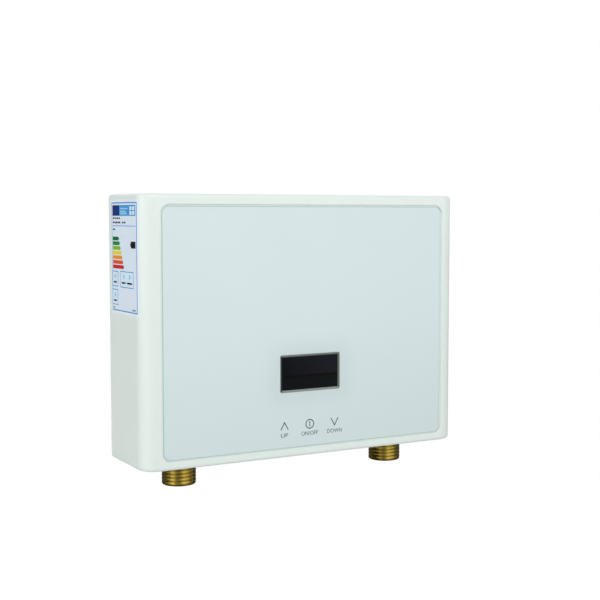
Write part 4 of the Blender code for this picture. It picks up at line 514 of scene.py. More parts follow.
def glass_look():
    """Clear glass with a pale colour fired on its back, greener ground edges, and painted shade that
    darkens its lower half toward the bottom.
    """
    body = linear(GLASS_PALE)
    graph = Graph("panel_glass", body, 0.10)
    cloud = graph.spread(graph.noise(14, 2.0), 0, 1)
    face = graph.blend(cloud, scaled(body, 0.992), scaled(body, 1.008))
    # Painted shade: the lower half darkens toward the bottom edge.
    painted_low_shade = graph.spread(graph.part("Z"), 1, 0, GLASS_LOW.z, GLASS_MIDDLE)
    face = graph.blend(painted_low_shade, face, scaled(body, GLASS_PAINTED_LOW_SHADE))
    edge = graph.spread(rim_distance(graph), 1, 0, 0.0, GROUND_EDGE)
    graph.paint(graph.blend(edge, face, linear(GLASS_GREEN)))
    graph.polish(60, 3.0, 0.06, 0.11)
    graph.set("Coat Weight", 0.5)
    graph.set("Coat Roughness", 0.02)
    graph.relief(graph.noise(9, 1.0), 0.04, 0.0004)
    return graph.look


def display_look():
    """Smoked window with a painted reflection, a little bluer and lighter over its upper half with a thin
    dark line between the halves, and darker toward the left.
    """
    graph = Graph("smoked", SCREEN_BLACK, 0.05)
    middle = centre_of("display_window").z - REFLECTION_SPLIT_DROP
    # Painted reflection: a lighter, bluer upper half and a thin dark line at the split.
    rise = graph.less(graph.part("Z"), middle)
    upper = graph.spread(rise, 0, 1, -REFLECTION_SPLIT_SOFTNESS, REFLECTION_SPLIT_SOFTNESS)
    painted_reflection_line = graph.spread(graph.maths("ABSOLUTE", rise), 1, 0, *REFLECTION_LINE_SPREAD)
    body = graph.blend(upper, *PAINTED_REFLECTION_TONES)
    # Darker toward the left.
    left = graph.spread(graph.part("X"), 1, 0, *WINDOW_LEFT_SPAN)
    body = graph.blend(left, body, WINDOW_LEFT_DARK)
    graph.paint(graph.blend(painted_reflection_line, body, REFLECTION_LINE_DARK))
    graph.polish(50, 2.0, 0.04, 0.08)
    return graph.look


def brass_look():
    """Turned brass with fine tool marks and random tarnish, painted shade and some grime in the thread's
    roots, and painted shade at its end rim and toward the case above.
    """
    graph = Graph("brass", BRASS, 0.27, 1.0)
    tarnish = graph.spread(graph.noise(240, 4.0), 0, 1)
    metal = graph.blend(tarnish, *BRASS_TONES)
    axis = graph.less(graph.maths("ABSOLUTE", graph.part("X")), centre_of("inlet_fitting").x)
    away = graph.less(graph.part("Y"), centre_of("inlet_fitting").y)
    radius = graph.maths("SQRT", graph.maths("ADD", graph.maths("POWER", axis, 2.0),
                                             graph.maths("POWER", away, 2.0)))
    outer = PIPE_THREAD_RADIUS
    # Painted shade, with some grime, in the thread's roots.
    root = graph.spread(radius, 1, 0, *(outer - depth for depth in ROOT_SHADE))
    low = graph.spread(radius, 0, 1, *(outer - depth for depth in ROOT_LIMIT))
    root_grime_and_shade = graph.maths("MULTIPLY", graph.maths("MULTIPLY", root, low), ROOT_GRIME_AND_SHADE_SHARE)
    metal = graph.blend(root_grime_and_shade, metal, ROOT_GRIME_AND_SHADE_BROWN)
    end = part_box("inlet_fitting")[0].z
    # Painted shade: darker toward the case above and at the end's rim.
    high = graph.spread(graph.part("Z"), 0, UNDER_CASE_PAINTED_SHADE, *(end + rise for rise in CASE_SHADE))
    end_rim_shade = graph.spread(graph.part("Z"), END_RIM_PAINTED_SHADE, 0, *(end + rise for rise in RIM_SHADE))
    graph.paint(graph.blend(graph.maths("MAXIMUM", high, end_rim_shade), metal, PAINTED_SHADE_BROWN))
    graph.polish(420, 3.0, 0.20, 0.26)
    graph.relief(graph.noise(900, 2.0, (0.15, 0.15, 1.0)), 0.25, 0.00002)
    return graph.look


def metal_look(name, colour, roughness, stretch):
    """Drawn or rolled metal with fine marks along one direction."""
    graph = plain_look(name, colour, roughness, 1.0, 0.10, 90, 700, 0.00001)
    graph.relief(graph.noise(1500, 2.0, stretch), 0.20, 0.00001)
    return graph.look


def board_look():
    """Green solder mask over glass cloth, with the traces showing as darker lines."""
    graph = Graph("board_green", MASK_GREEN, 0.38)
    weave = graph.cells(420)
    trace = graph.spread(weave, 0, 1, 0.10, 0.16)
    graph.paint(graph.blend(trace, *BOARD_TONES))
    graph.polish(300, 2.0, 0.30, 0.45)
    graph.relief(trace, 0.3, 0.00004)
    return graph.look


def inner_looks():
    """Finishes of what the case hides."""
    looks = {"board_green": board_look(), "ribbon_grey": ribbon_look()}
    for name, colour, roughness, grain in PLAIN_LOOKS:
        looks[name] = plain_look(name, colour, roughness, **grain).look
    for name, colour, roughness, stretch in METAL_LOOKS:
        looks[name] = metal_look(name, colour, roughness, stretch)
    return looks


def ribbon_look():
    """Grey ribbon cable, ridged along its conductors."""
    graph = Graph("ribbon_grey", RIBBON_GREY, 0.5)
    wires = graph.add("ShaderNodeTexWave", wave_type="BANDS", bands_direction="X")
    graph.feed(wires, "Vector", graph.place)
    graph.feed(wires, "Scale", RIBBON_WIRES)
    ridge = wires.outputs["Fac"]
    graph.paint(graph.blend(ridge, *RIBBON_TONES))
    graph.relief(ridge, 0.6, 0.0002)
    return graph.look


def trim_look():
    """Satin grey metallised frame of the display, with painted light and shade: its lower, upper and side
    bars get their own lit or shaded tones.
    """
    graph = Graph("trim_grey", linear(TRIM_GREY), 0.38, 0.20)
    middle = centre_of("display_trim").z
    half = size_of("display_trim") / 2
    beside = graph.less(graph.maths("ABSOLUTE", graph.part("X")), half.x)
    rise = graph.maths("ABSOLUTE", graph.less(graph.part("Z"), middle))
    side = graph.spread(graph.less(beside, graph.less(rise, half.z)), 0, 1,
                        -TRIM_MITRE, TRIM_MITRE)
    # Painted light and shade: each bar gets its own lit or shaded tone.
    tones = graph.noise(120, 4.0)
    lower = graph.blend(tones, *map(linear, TRIM_LOWER_LIT_TONES))
    upper = graph.blend(tones, *map(linear, TRIM_UPPER_SHADED_TONES))
    upper_bar_shade_share = graph.spread(graph.part("Z"), 0, 1, middle - TRIM_TURN, middle + TRIM_TURN)
    metal = graph.blend(upper_bar_shade_share, lower, upper)
    east = graph.spread(graph.part("X"), 0, 1, -TRIM_TURN, TRIM_TURN)
    graph.paint(graph.blend(side, metal, graph.blend(east, *map(linear, TRIM_SIDES_SHADED_TONES))))
    graph.polish(240, 3.0, 0.33, 0.44)
    graph.relief(graph.noise(1800, 2.0, (0.1, 1, 1)), 0.15, 0.00001)
    return graph.look


# Basic shapes

def tool(name, data):
    item = bpy.data.objects.new(name, data)
    bpy.context.scene.collection.objects.link(item)
    return item


def dress(mesh, looks, sharp=SHARP_ANGLE):
    """Gives a mesh its looks, and soft shading but for its sharp edges."""
    for look in looks:
        mesh.materials.append(look)
    mesh.shade_smooth()
    mesh.set_sharp_from_angle(angle=sharp)


def make(name, mesh, look, sharp=SHARP_ANGLE):
    dress(mesh, look if isinstance(look, list) else [look], sharp)
    return tool(name, mesh)


def mesh_from(form, name):
    """A mesh whose faces are turned outward."""
    bmesh.ops.recalc_face_normals(form, faces=form.faces)
    mesh = bpy.data.meshes.new(name)
    form.to_mesh(mesh)
    form.free()
    return mesh


def arc(centre, radius, first, last, steps):
    points = []
    for step in range(steps + 1):
        angle = math.radians(first + (last - first) * step / steps)
        points.append((centre[0] + radius * math.cos(angle), centre[1] + radius * math.sin(angle)))
    return points


def rounded_rectangle(width, height, radius, centre=(0, 0), steps=CORNER_STEPS):
    points = []
    for side, rise, first in ((1, 1, 0), (-1, 1, 90), (-1, -1, 180), (1, -1, 270)):
        middle = (centre[0] + side * (width / 2 - radius), centre[1] + rise * (height / 2 - radius))
        points += arc(middle, radius, first, first + 90, steps)
    return points


def circle(radius, steps, centre=(0, 0)):
    return arc(centre, radius, 0, 360 - 360 / steps, steps - 1)


def front_rings(levels, size, corner, centre, steps=CORNER_STEPS):
    """Rounded rectangles that face the front, one for each depth and inset."""
    rings = []
    for depth, inset in levels:
        outline = rounded_rectangle(size[0] - 2 * inset, size[1] - 2 * inset,
                                    max(corner - inset, BEZEL_EDGE), centre, steps)
        rings.append([(x, depth, z) for x, z in outline])
    return rings


def skin(form, rings, caps=True, around=False):
    """Adds faces through closed rings, which all have as many points."""
    rows = [[form.verts.new(point) for point in ring] for ring in rings]
    for lower, upper in zip(rows, rows[1:] + rows[:1] if around else rows[1:]):
        for index in range(len(lower)):
            after = (index + 1) % len(lower)
            form.faces.new((lower[index], lower[after], upper[after], upper[index]))
    if caps:
        form.faces.new(reversed(rows[0]))
        form.faces.new(rows[-1])


def loft(name, rings, caps=True, around=False):
    form = bmesh.new()
    skin(form, rings, caps, around)
    return mesh_from(form, name)


def prism(name, outline, first, last, axis):
    """An outline made thick along one axis: x, y or z."""
    def at(point, depth):
        return {"x": (depth, *point), "y": (point[0], depth, point[1]), "z": (*point, depth)}[axis]
    return loft(name, [[at(point, depth) for point in outline] for depth in (first, last)])


def baked(item):
    """The mesh that an item's modifiers or its text come to."""
    bpy.context.view_layer.update()
    shape = item.evaluated_get(bpy.context.evaluated_depsgraph_get())
    return bpy.data.meshes.new_from_object(shape)


def combine(target, mesh, operation="DIFFERENCE"):
    """Applies a Boolean with a shape that is then removed. The result has no look yet."""
    helper = tool(mesh.name, mesh)
    step = target.modifiers.new("step", "BOOLEAN")
    step.operation = operation
    step.solver = "EXACT"
    step.object = helper
    result = baked(target)
    result.materials.clear()
    target.modifiers.remove(step)
    target.data = result
    bpy.data.objects.remove(helper, do_unlink=True)


def rod_mesh(name, radius, centre, depths):
    return prism(name, circle(radius, FILLET_STEPS, centre), *depths, "y")


# Case

def open_outline(half, depth, radius, back, steps):
    """An outline that is open to the wall and rounded at its two front corners."""
    outline = [(-half, back)]
    outline += arc((radius - half, depth + radius), radius, 180, 270, steps)
    outline += arc((half - radius, depth + radius), radius, 270, 360, steps)
    return outline + [(half, back)]


def cover_rings():
    """Outlines of the case from its bottom to its top, drawn in at both ends."""
    levels = []
    for step in range(EDGE_STEPS + 1):
        angle = math.radians(90 * step / EDGE_STEPS)
        rise = HALF_HEIGHT - EDGE_FILLET * (1 - math.sin(angle))
        levels.append((rise, EDGE_FILLET * (1 - math.cos(angle))))
    levels = [(-rise, inset) for rise, inset in reversed(levels)] + levels
    rings = []
    for rise, inset in levels:
        outline = open_outline(HALF_WIDTH - inset, FRONT + inset, SIDE_FILLET - inset, 0, FILLET_STEPS)
        rings.append([(x, y, rise) for x, y in outline])
    return rings


def recess_rings():
    """Outlines of the glass recess from its back to past its rounded lip."""
    width = GLASS_HIGH.x - GLASS_LOW.x + 2 * GLASS_CLEARANCE
    height = GLASS_HIGH.z - GLASS_LOW.z + 2 * GLASS_CLEARANCE
    corner = GLASS_CORNER + GLASS_CLEARANCE
    step_in = GLASS_FIT - GLASS_CLEARANCE
    levels = [(RECESS_BACK, step_in), (FRONT + GROOVE_DEPTH, step_in), (FRONT + GROOVE_DEPTH, 0)]
    for step in range(LIP_STEPS + 1):
        angle = math.radians(LIP_SWEEP * step / LIP_STEPS)
        levels.append((FRONT + LIP_RADIUS * (1 - math.sin(angle)), LIP_RADIUS * (1 - math.cos(angle))))
    last_depth, last_growth = levels[-1]
    levels.append((FRONT - OVERRUN, last_growth + (last_depth - FRONT + OVERRUN) * LIP_FLARE))
    levels = [(depth, -growth) for depth, growth in levels]
    return front_rings(levels, (width, height), corner, (0, GLASS_MIDDLE))


def cavity_mesh():
    """The hollow of the cover, open to the back."""
    outline = open_outline(HALF_WIDTH - CASE_WALL, COVER_INSIDE, CAVITY_FILLET, OVERRUN, LIP_STEPS)
    reach = HALF_HEIGHT - CASE_WALL
    return prism("cavity", outline, -reach, reach, "z")


def way_outline(x, y, radius):
    """An outline open to the back, rounded round a pipe or a cable."""
    return arc((x, y), radius, 180, 360, CORNER_STEPS) + [(x + radius, OVERRUN), (x - radius, OVERRUN)]


def bottom_ways():
    """Centre and radius of the slots in the case's bottom wall."""
    ways = []
    for node in ("outlet_fitting", "inlet_fitting"):
        middle = centre_of(node)
        ways.append((middle.x, middle.y, PIPE_THREAD_RADIUS + WAY_CLEARANCE))
    middle = centre_of("cable_grommet")
    ways.append((middle.x, middle.y, GROMMET_NECK + WAY_CLEARANCE))
    return ways


def build_cover(look):
    """The white moulding, with its recess, cavity, posts, openings and bottom slots."""
    cover = make("cover_moulding", loft("cover_moulding", cover_rings()), look)
    combine(cover, cavity_mesh())
    half = HALF_WIDTH - REBATE_WALL
    reach = HALF_HEIGHT - REBATE_WALL
    rebate = rounded_rectangle(2 * half, 2 * reach, REBATE_CORNER)
    combine(cover, prism("rebate", rebate, -REBATE_DEPTH, OVERRUN, "y"))
    combine(cover, loft("recess", recess_rings()))
    for number, (x, y, radius) in enumerate(bottom_ways()):
        way = prism("way_%d" % number, way_outline(x, y, radius), BOTTOM - OVERRUN, FLOOR_INSIDE + OVERRUN,
                    "z")
        combine(cover, way)
    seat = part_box("case_seal")[0].y
    for word in SCREW_WORDS:
        place = centre_of("case_screw_" + word)
        post = rod_mesh("post", POST_RADIUS, (place.x, place.z), (COVER_INSIDE - ROOT, seat))
        combine(cover, post, "UNION")
    low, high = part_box("display_window")
    middle = ((low.x + high.x) / 2, (low.z + high.z) / 2)
    opening = rounded_rectangle(high.x - low.x, high.z - low.z, OVERRUN, middle, LIP_STEPS)
    through = (RECESS_BACK - OVERRUN, COVER_INSIDE + OVERRUN)
    combine(cover, prism("display_way", opening, *through, "y"))
    for word in ("up", "power", "down"):
        place = centre_of("touch_spring_" + word)
        combine(cover, rod_mesh("hole", TOUCH_HOLE_RADIUS, (place.x, place.z), through))
    dress(cover.data, [look])
    soft = cover.modifiers.new("soft shading", "WEIGHTED_NORMAL")
    soft.keep_sharp = True
    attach(cover, "heater")
    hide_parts("front_cover")


# Brass fittings

def thread_radius(turn, height, end, seat):
    """Radius of the thread's soft rings at a share of a turn and a height."""
    phase = (height - end) / THREAD_PITCH + THREAD_START - turn
    groove = (0.5 - 0.5 * math.cos(math.tau * phase)) ** THREAD_SHAPE
    fade = min(1.0, max(0.0, (seat - height) / THREAD_FADE))
    radius = PIPE_THREAD_RADIUS - THREAD_DEPTH * (1 - (1 - groove) * fade)
    rest = max(0.0, END_ROUNDING - (height - end))
    limit = PIPE_THREAD_RADIUS - END_ROUNDING + math.sqrt(END_ROUNDING ** 2 - rest ** 2)
    return min(radius, limit)


def fitting_rings(node, socket_radius):
    """Rings of the nipple: up its threaded outside, over the socket and down its bore."""
    low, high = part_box(node)
    end, top = low.z, high.z
    middle = centre_of(node)
    seat = FLOOR_INSIDE + GAP
    count = round((seat - end) / THREAD_PITCH * THREAD_ROWS)
    rings = []
    for row in range(count + 1):
        height = end + (seat - end) * row / count
        rings.append([(thread_radius(step / THREAD_STEPS, height, end, seat), height)
                      for step in range(THREAD_STEPS)])
    outer = socket_radius + SOCKET_WALL
    soft = SOCKET_SOFTNESS
    profile = [(outer, seat + ROOT), (outer, top - soft), (outer - soft, top), (socket_radius + soft, top),
               (socket_radius, top - soft), (socket_radius, top - SOCKET_DEPTH),
               (FITTING_THROAT, top - SOCKET_DEPTH - soft), (FITTING_THROAT, end + FILTER_STEP + soft),
               (FITTING_BORE, end + FILTER_STEP), (FITTING_BORE, end + soft), (FITTING_BORE + soft, end)]
    rings += [[(radius, height)] * THREAD_STEPS for radius, height in profile]
    turns = [math.tau * step / THREAD_STEPS for step in range(THREAD_STEPS)]
    return [[(middle.x + radius * math.cos(turn), middle.y + radius * math.sin(turn), height)
             for turn, (radius, height) in zip(turns, ring)] for ring in rings]


def build_fitting(node, socket_radius, look):
    """A threaded brass nipple with its hexagon."""
    middle = centre_of(node)
    form = bmesh.new()
    skin(form, fitting_rings(node, socket_radius), caps=False, around=True)
    seat = FLOOR_INSIDE + GAP
    levels = ((seat, HEX_CHAMFER), (seat + HEX_CHAMFER / 2, 0), (seat + HEX_THICKNESS - HEX_CHAMFER / 2, 0),
              (seat + HEX_THICKNESS, HEX_CHAMFER))
    centre = (middle.x, middle.y)
    skin(form, [[(x, y, height) for x, y in circle(HEX_ACROSS_CORNERS / 2 - inset, 6, centre)]
                for height, inset in levels])
    name = node.replace("fitting", "nipple")
    nipple = make(name, mesh_from(form, name), look, HEX_SHARP_ANGLE)
    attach(nipple, "heater")
    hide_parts(node)


# Glass and display

def build_pane(look):
    """The front glass, with ground edges and a fine arris."""
    size = size_of("glass_panel")
    levels = ((GLASS_LOW.y, GLASS_ARRIS), (GLASS_LOW.y + GLASS_ARRIS, 0),
              (GLASS_HIGH.y - GLASS_ARRIS, 0), (GLASS_HIGH.y, GLASS_ARRIS))
    rings = front_rings(levels, (size.x, size.z), GLASS_CORNER, (0, GLASS_MIDDLE))
    pane = make("front_pane", loft("front_pane", rings), look)
    middle = centre_of("display_trim")
    size = size_of("display_trim")
    hole = rounded_rectangle(size.x + GLASS_FIT, size.z + GLASS_FIT, BEZEL_CORNER, (middle.x, middle.z),
                             BEZEL_STEPS)
    combine(pane, prism("opening", hole, GLASS_LOW.y - OVERRUN, GLASS_HIGH.y + OVERRUN, "y"))
    dress(pane.data, [look])
    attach(pane, "heater")
    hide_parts("glass_panel")


def build_display(trim, smoked):
    """A bevelled grey frame round a smoked window."""
    low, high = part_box("display_trim")
    middle = centre_of("display_trim")
    front = low.y
    sink, window_back = (corner.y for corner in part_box("display_window"))
    profile = [(high.y, 0), (front + BEZEL_EDGE, 0), (front, BEZEL_EDGE), (front, BEZEL_FLAT),
               (sink, BEZEL_WIDTH), (window_back, BEZEL_WIDTH), (high.y, BEZEL_WIDTH)]
    shape = ((high.x - low.x, high.z - low.z), BEZEL_CORNER, (middle.x, middle.z), BEZEL_STEPS)
    rings = front_rings(profile, *shape)
    bezel = make("display_bezel", loft("display_bezel", rings, caps=False, around=True), trim)
    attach(bezel, "heater")
    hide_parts("display_trim")
    reach = BEZEL_WIDTH + GLASS_FIT
    profile = ((sink, reach + WINDOW_EDGE), (sink + WINDOW_EDGE, reach), (window_back, reach))
    rings = front_rings(profile, *shape)
    pane = make("display_pane", loft("display_pane", rings), smoked)
    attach(pane, "heater")
    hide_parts("display_window")


# Prints on the glass

def print_look():
    """Dull grey ink of the keys."""
    graph = plain_look("key_print", linear(PRINT_GREY), 0.55, tone=0.05, marks=900)
    graph.set("Specular IOR Level", 0.2)
    return graph.look


def stroke_mesh(form, points, closed=False):
    """A flat line of even width through points in the plane of the glass, as a closed solid."""
    front = GLASS_LOW.y - PRINT_THICKNESS
    back = GLASS_LOW.y + PRINT_SUNK
    count = len(points)
    sides = []
    for index, point in enumerate(points):
        here = Vector(point)
        before = Vector(points[(index - 1) % count]) if closed or index else None
        after = Vector(points[(index + 1) % count]) if closed or index < count - 1 else None
        into = (here - before).normalized() if before else (after - here).normalized()
        out = (after - here).normalized() if after else into
        lean = (into + out).normalized()
        across = Vector((-lean.y, lean.x)) * (STROKE / 2 / max(MITRE_LIMIT, lean.dot(into)))
        sides.append((here + across, here - across))
    skin(form, [[(left.x, front, left.y), (right.x, front, right.y), (right.x, back, right.y),
                 (left.x, back, left.y)] for left, right in sides], caps=not closed, around=closed)


def build_symbol(word, strokes, look):
    form = bmesh.new()
    for points, closed in strokes:
        stroke_mesh(form, points, closed)
    symbol = make("key_symbol_" + word, mesh_from(form, "key_symbol_" + word), look)
    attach(symbol, "heater")


def build_word(name, text, x, z, width, look):
    """A printed word of a given width, centred on a place on the glass."""
    curve = bpy.data.curves.new(name, "FONT")
    curve.body = text
    curve.size = 1
    curve.align_x = "CENTER"
    curve.align_y = "CENTER"
    curve.offset = WORD_THIN
    curve.extrude = 0.5
    guide = tool(name + "_guide", curve)
    form = bmesh.new()
    form.from_mesh(baked(guide))
    bpy.data.objects.remove(guide, do_unlink=True)
    bmesh.ops.remove_doubles(form, verts=form.verts, dist=WORD_WELD)
    lows = [min(vert.co[axis] for vert in form.verts) for axis in range(3)]
    highs = [max(vert.co[axis] for vert in form.verts) for axis in range(3)]
    front = GLASS_LOW.y - PRINT_THICKNESS
    for vert in form.verts:
        shares = [(vert.co[axis] - lows[axis]) / (highs[axis] - lows[axis]) for axis in range(3)]
        vert.co = (x + (shares[0] - 0.5) * width, front + (1 - shares[2]) * (PRINT_THICKNESS + PRINT_SUNK),
                   z + (shares[1] - 0.5) * WORD_HEIGHT)
    word = make(name, mesh_from(form, name), look)
    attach(word, "heater")


def build_keys():
    """Up and down arrows, a power symbol and their words."""
    look = print_look()
    middle = centre_of("touch_spring_power").z + SYMBOL_RISE
    half = CHEVRON_HEIGHT / 2
    for word, side, way in (("up", -1, 1), ("down", 1, -1)):
        x = side * KEY_SPACING + KEY_SHIFT
        arrow = [(x - CHEVRON_HALF_WIDTH, middle - way * half), (x, middle + way * half),
                 (x + CHEVRON_HALF_WIDTH, middle - way * half)]
        build_symbol(word, [(arrow, False)], look)
    ring = circle(RING_RADIUS, RING_POINTS, (KEY_SHIFT, middle))
    bar = [(KEY_SHIFT, middle - BAR_HEIGHT / 2), (KEY_SHIFT, middle + BAR_HEIGHT / 2)]
    build_symbol("power", [(ring, True), (bar, False)], look)
    for word, text, side, width in KEY_WORDS:
        x = side * KEY_SPACING + KEY_SHIFT
        build_word("key_word_" + word, text, x, middle - WORD_DROP, width, look)


# Rating label, drawn as plain shapes

def flat_patch(form, slot, layer, outline):
    """A thin raised shape on the left side; its points are (depth from the wall, height)."""
    outside = CASE_LOW.x - LABEL_LIFT - layer * LABEL_LAYER
    inside = CASE_LOW.x + LABEL_LIFT
    outer = [form.verts.new((outside, y, z)) for y, z in outline]
    inner = [form.verts.new((inside, y, z)) for y, z in outline]
    faces = [form.faces.new(outer), form.faces.new(reversed(inner))]
    for index in range(len(outline)):
        after = (index + 1) % len(outline)
        faces.append(form.faces.new((outer[index], inner[index], inner[after], outer[after])))
    for face in faces:
        face.material_index = slot


def patch_box(first, last, low, high):
    return [(first, low), (last, low), (last, high), (first, high)]


def label_look(name, colour):
    graph = plain_look("label_" + name, linear(colour), 0.50, tone=0.02, marks=500, grain=2400,
                       depth=0.000006)
    graph.set("Specular IOR Level", 0.12)
    return graph.look


def wrap_label(form):
    """Bends the label's front edge round the case's upright fillet."""
    start = FRONT + SIDE_FILLET
    for step in range(WRAP_STEPS):
        cut = start - (start - LABEL_BACK + LABEL_MARGIN) * step / WRAP_STEPS
        bmesh.ops.bisect_plane(form, geom=form.verts[:] + form.edges[:] + form.faces[:], dist=1e-7,
                               plane_co=(0, cut, 0), plane_no=(0, 1, 0))
    for vert in form.verts:
        reach = max(0.0, start - vert.co.y)
        vert.co.x += SIDE_FILLET - math.sqrt(SIDE_FILLET ** 2 - reach ** 2)


def build_label():
    """Bands, squares, stripes, coloured bars, a marker, boxes and dashes on pale paper."""
    slots = {name: index for index, (name, colour) in enumerate(LABEL_COLOURS)}
    form = bmesh.new()

    def add(colour, layer, outline):
        flat_patch(form, slots[colour], layer, outline)

    front, back, low, high = LABEL_FRONT, LABEL_BACK, LABEL_LOW, LABEL_HIGH
    margin, line = LABEL_MARGIN, LABEL_LINE
    add("paper", 0, patch_box(back - margin, front + margin, low - margin, high + margin))
    add("blue", 1, patch_box(back, front, low, high))
    add("ground", 2, patch_box(back + line, front - line, low + line, high - line))
    band_low, band_high = (high - drop for drop in BAND_BELOW_TOP)
    split = front - BAND_SPLIT
    add("navy", 3, patch_box(split, front - LABEL_INSET, band_low, band_high))
    add("blue", 3, patch_box(back + LABEL_INSET, split, band_low, band_high))
    for step in range(4):
        start = back + SQUARES_PLACE[0] + (step % 2) * SQUARES_PITCH[0]
        base = band_low + SQUARES_PLACE[1] + (step // 2) * SQUARES_PITCH[1]
        add("pale", 4, patch_box(start, start + SQUARE_SIZE[0], base, base + SQUARE_SIZE[1]))
    for rise, reach in STRIPES:
        end, base = split - STRIPE_INSET, band_low + rise
        add("sky", 4, patch_box(end - reach, end, base, base + STRIPE_HEIGHT))
    for base, colour, dashes in LABEL_DASHES:
        for start, end in dashes:
            add(colour, 4, patch_box(-end, -start, base, base + DASH_HEIGHT))
    add("blue", 3, patch_box(back + LABEL_INSET, front - LABEL_INSET, *RULE_HEIGHTS))
    for step, colour in enumerate(GRADES):
        top = GRADE_TOP - step * GRADE_PITCH + GRADE_HEIGHT / 2
        end = GRADE_START - GRADE_SHORTEST - step * GRADE_GROWTH
        base = top - GRADE_HEIGHT
        add(colour, 3, [(GRADE_START, base), (end + GRADE_POINT, base), (end, (top + base) / 2),
                        (end + GRADE_POINT, top), (GRADE_START, top)])
    add("black", 3, MARKER)
    for y0, y1, z0, z1 in BOXES:
        add("blue", 3, patch_box(y0, y1, z0, z1))
        add("pale", 4, patch_box(y0 + BOX_LINE, y1 - BOX_LINE, z0 + BOX_LINE, z1 - BOX_LINE))
    for place in DOTS:
        add("sky", 5, circle(DOT_RADIUS, DOT_STEPS, place))
    wrap_label(form)
    looks = [label_look(name, colour) for name, colour in LABEL_COLOURS]
    label = make("side_label", mesh_from(form, "side_label"), looks)
    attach(label, "heater")


# Case screws

def build_screw(word, look):
    """A screw with a domed, cross-recessed head, seen from the back."""
    node = "case_screw_" + word
    low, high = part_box(node)
    middle = (low + high) / 2
    top = high.y
    base = top - HEAD_HEIGHT
    profile = [(TIP_RADIUS, low.y)]
    profile += [(SHANK_RADIUS * share, low.y + rise) for share, rise in SHANK_POINT]
    profile += [(SHANK_RADIUS, base), (HEAD_RADIUS, base)]
    profile += [(HEAD_RADIUS * share, top - drop) for share, drop in HEAD_DOME] + [(TIP_RADIUS, top)]
    rings = [[(middle.x + x, y, middle.z + z) for x, z in circle(radius, SCREW_STEPS)]
             for radius, y in profile]
    screw = make(node + "_head", loft(node, rings), look)
    for turn in (0, 90):
        wide, long = (CROSS_WIDTH, CROSS_REACH * 2) if turn else (CROSS_REACH * 2, CROSS_WIDTH)
        bar = rounded_rectangle(wide, long, CROSS_CORNER, (middle.x, middle.z), CROSS_STEPS)
        combine(screw, prism("cross", bar, top - CROSS_DEPTH, top + OVERRUN, "y"))
    dress(screw.data, [look])
    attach(screw, "heater")
    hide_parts(node)


# Studio

def build_camera():
    camera = bpy.data.cameras.new("camera")
    camera.sensor_width = SENSOR_WIDTH
    camera.lens = CAMERA_LENS
    camera.clip_start = CAMERA_NEAR
    holder = tool("camera", camera)
    level = math.cos(CAMERA_PITCH)
    ahead = Vector((math.sin(CAMERA_YAW) * level, math.cos(CAMERA_YAW) * level, math.sin(CAMERA_PITCH)))
    right = Vector((math.cos(CAMERA_YAW), -math.sin(CAMERA_YAW), 0))
    up = right.cross(ahead)
    turn = Matrix((right, up, -ahead)).transposed().to_4x4()
    holder.matrix_world = Matrix.Translation(CAMERA_PLACE) @ turn
    bpy.context.scene.camera = holder


def seen_directly(tree):
    """1 for rays from the camera and those that metal and glass send on, else 0."""
    path = tree.nodes.new("ShaderNodeLightPath")
    total = path.outputs["Is Camera Ray"]
    for word in ("Is Glossy Ray", "Is Transmission Ray"):
        step = tree.nodes.new("ShaderNodeMath")
        step.operation = "MAXIMUM"
        tree.links.new(total, step.inputs[0])
        tree.links.new(path.outputs[word], step.inputs[1])
        total = step.outputs[0]
    return total


def build_world():
    """White where it is seen, and dimmer as a light on the heater."""
    world = bpy.data.worlds.new("studio")
    world.use_nodes = True
    tree = world.node_tree
    sky = tree.nodes["Background"]
    sky.inputs["Color"].default_value = (1, 1, 1, 1)
    level = tree.nodes.new("ShaderNodeMapRange")
    tree.links.new(seen_directly(tree), level.inputs["Value"])
    level.inputs["To Min"].default_value = WORLD_LEVEL
    level.inputs["To Max"].default_value = 1.0
    tree.links.new(level.outputs["Result"], sky.inputs["Strength"])
    bpy.context.scene.world = world


def build_lamp(name, place, width, height, power):
    lamp = bpy.data.lights.new(name, "AREA")
    lamp.shape = "RECTANGLE"
    lamp.size = width
    lamp.size_y = height
    lamp.energy = power
    holder = tool(name, lamp)
    holder.location = place
    aim = Vector(LAMP_TARGET) - Vector(place)
    holder.rotation_euler = aim.to_track_quat("-Z", "Y").to_euler()


def build_floor():
    """A wide pale floor that fades into the white of the studio away from the heater."""
    graph = Graph("studio_floor", (FLOOR_TONE,) * 3, 0.9)
    direct = seen_directly(graph.tree)
    far = graph.spread(graph.reach(), 0, 1, *FLOOR_FADE)
    glow = graph.maths("MULTIPLY", graph.spread(far, *FLOOR_GLOW, 0, 1), direct)
    lit = graph.join("ShaderNodeAddShader", graph.shader.outputs[0], graph.shine(glow))
    share = graph.maths("MULTIPLY", far, direct)
    surface = graph.join("ShaderNodeMixShader", share, lit, graph.shine(1.0))
    graph.feed(graph.tree.nodes["Material Output"], "Surface", surface)
    form = bmesh.new()
    bmesh.ops.create_grid(form, x_segments=1, y_segments=1, size=FLOOR_SIZE / 2)
    floor = make("studio_floor", mesh_from(form, "studio_floor"), graph.look)
    floor.location = (0, 0, FLOOR_HEIGHT)


def build_studio():
    bpy.context.scene.view_settings.view_transform = "Standard"
    build_camera()
    build_world()
    build_floor()
    for lamp in LAMPS:
        build_lamp(*lamp)
    build_flags()


def card_look(name, brightness, cover=None):
    """A card of even or changing brightness, clear where its cover falls to 0."""
    graph = Graph(name, (0.5, 0.5, 0.5), 1.0)
    surface = graph.shine(brightness(graph) if callable(brightness) else brightness)
    if cover:
        clear = graph.join("ShaderNodeBsdfTransparent")
        surface = graph.join("ShaderNodeMixShader", cover(graph), clear, surface)
    graph.feed(graph.tree.nodes["Material Output"], "Surface", surface)
    return graph.look


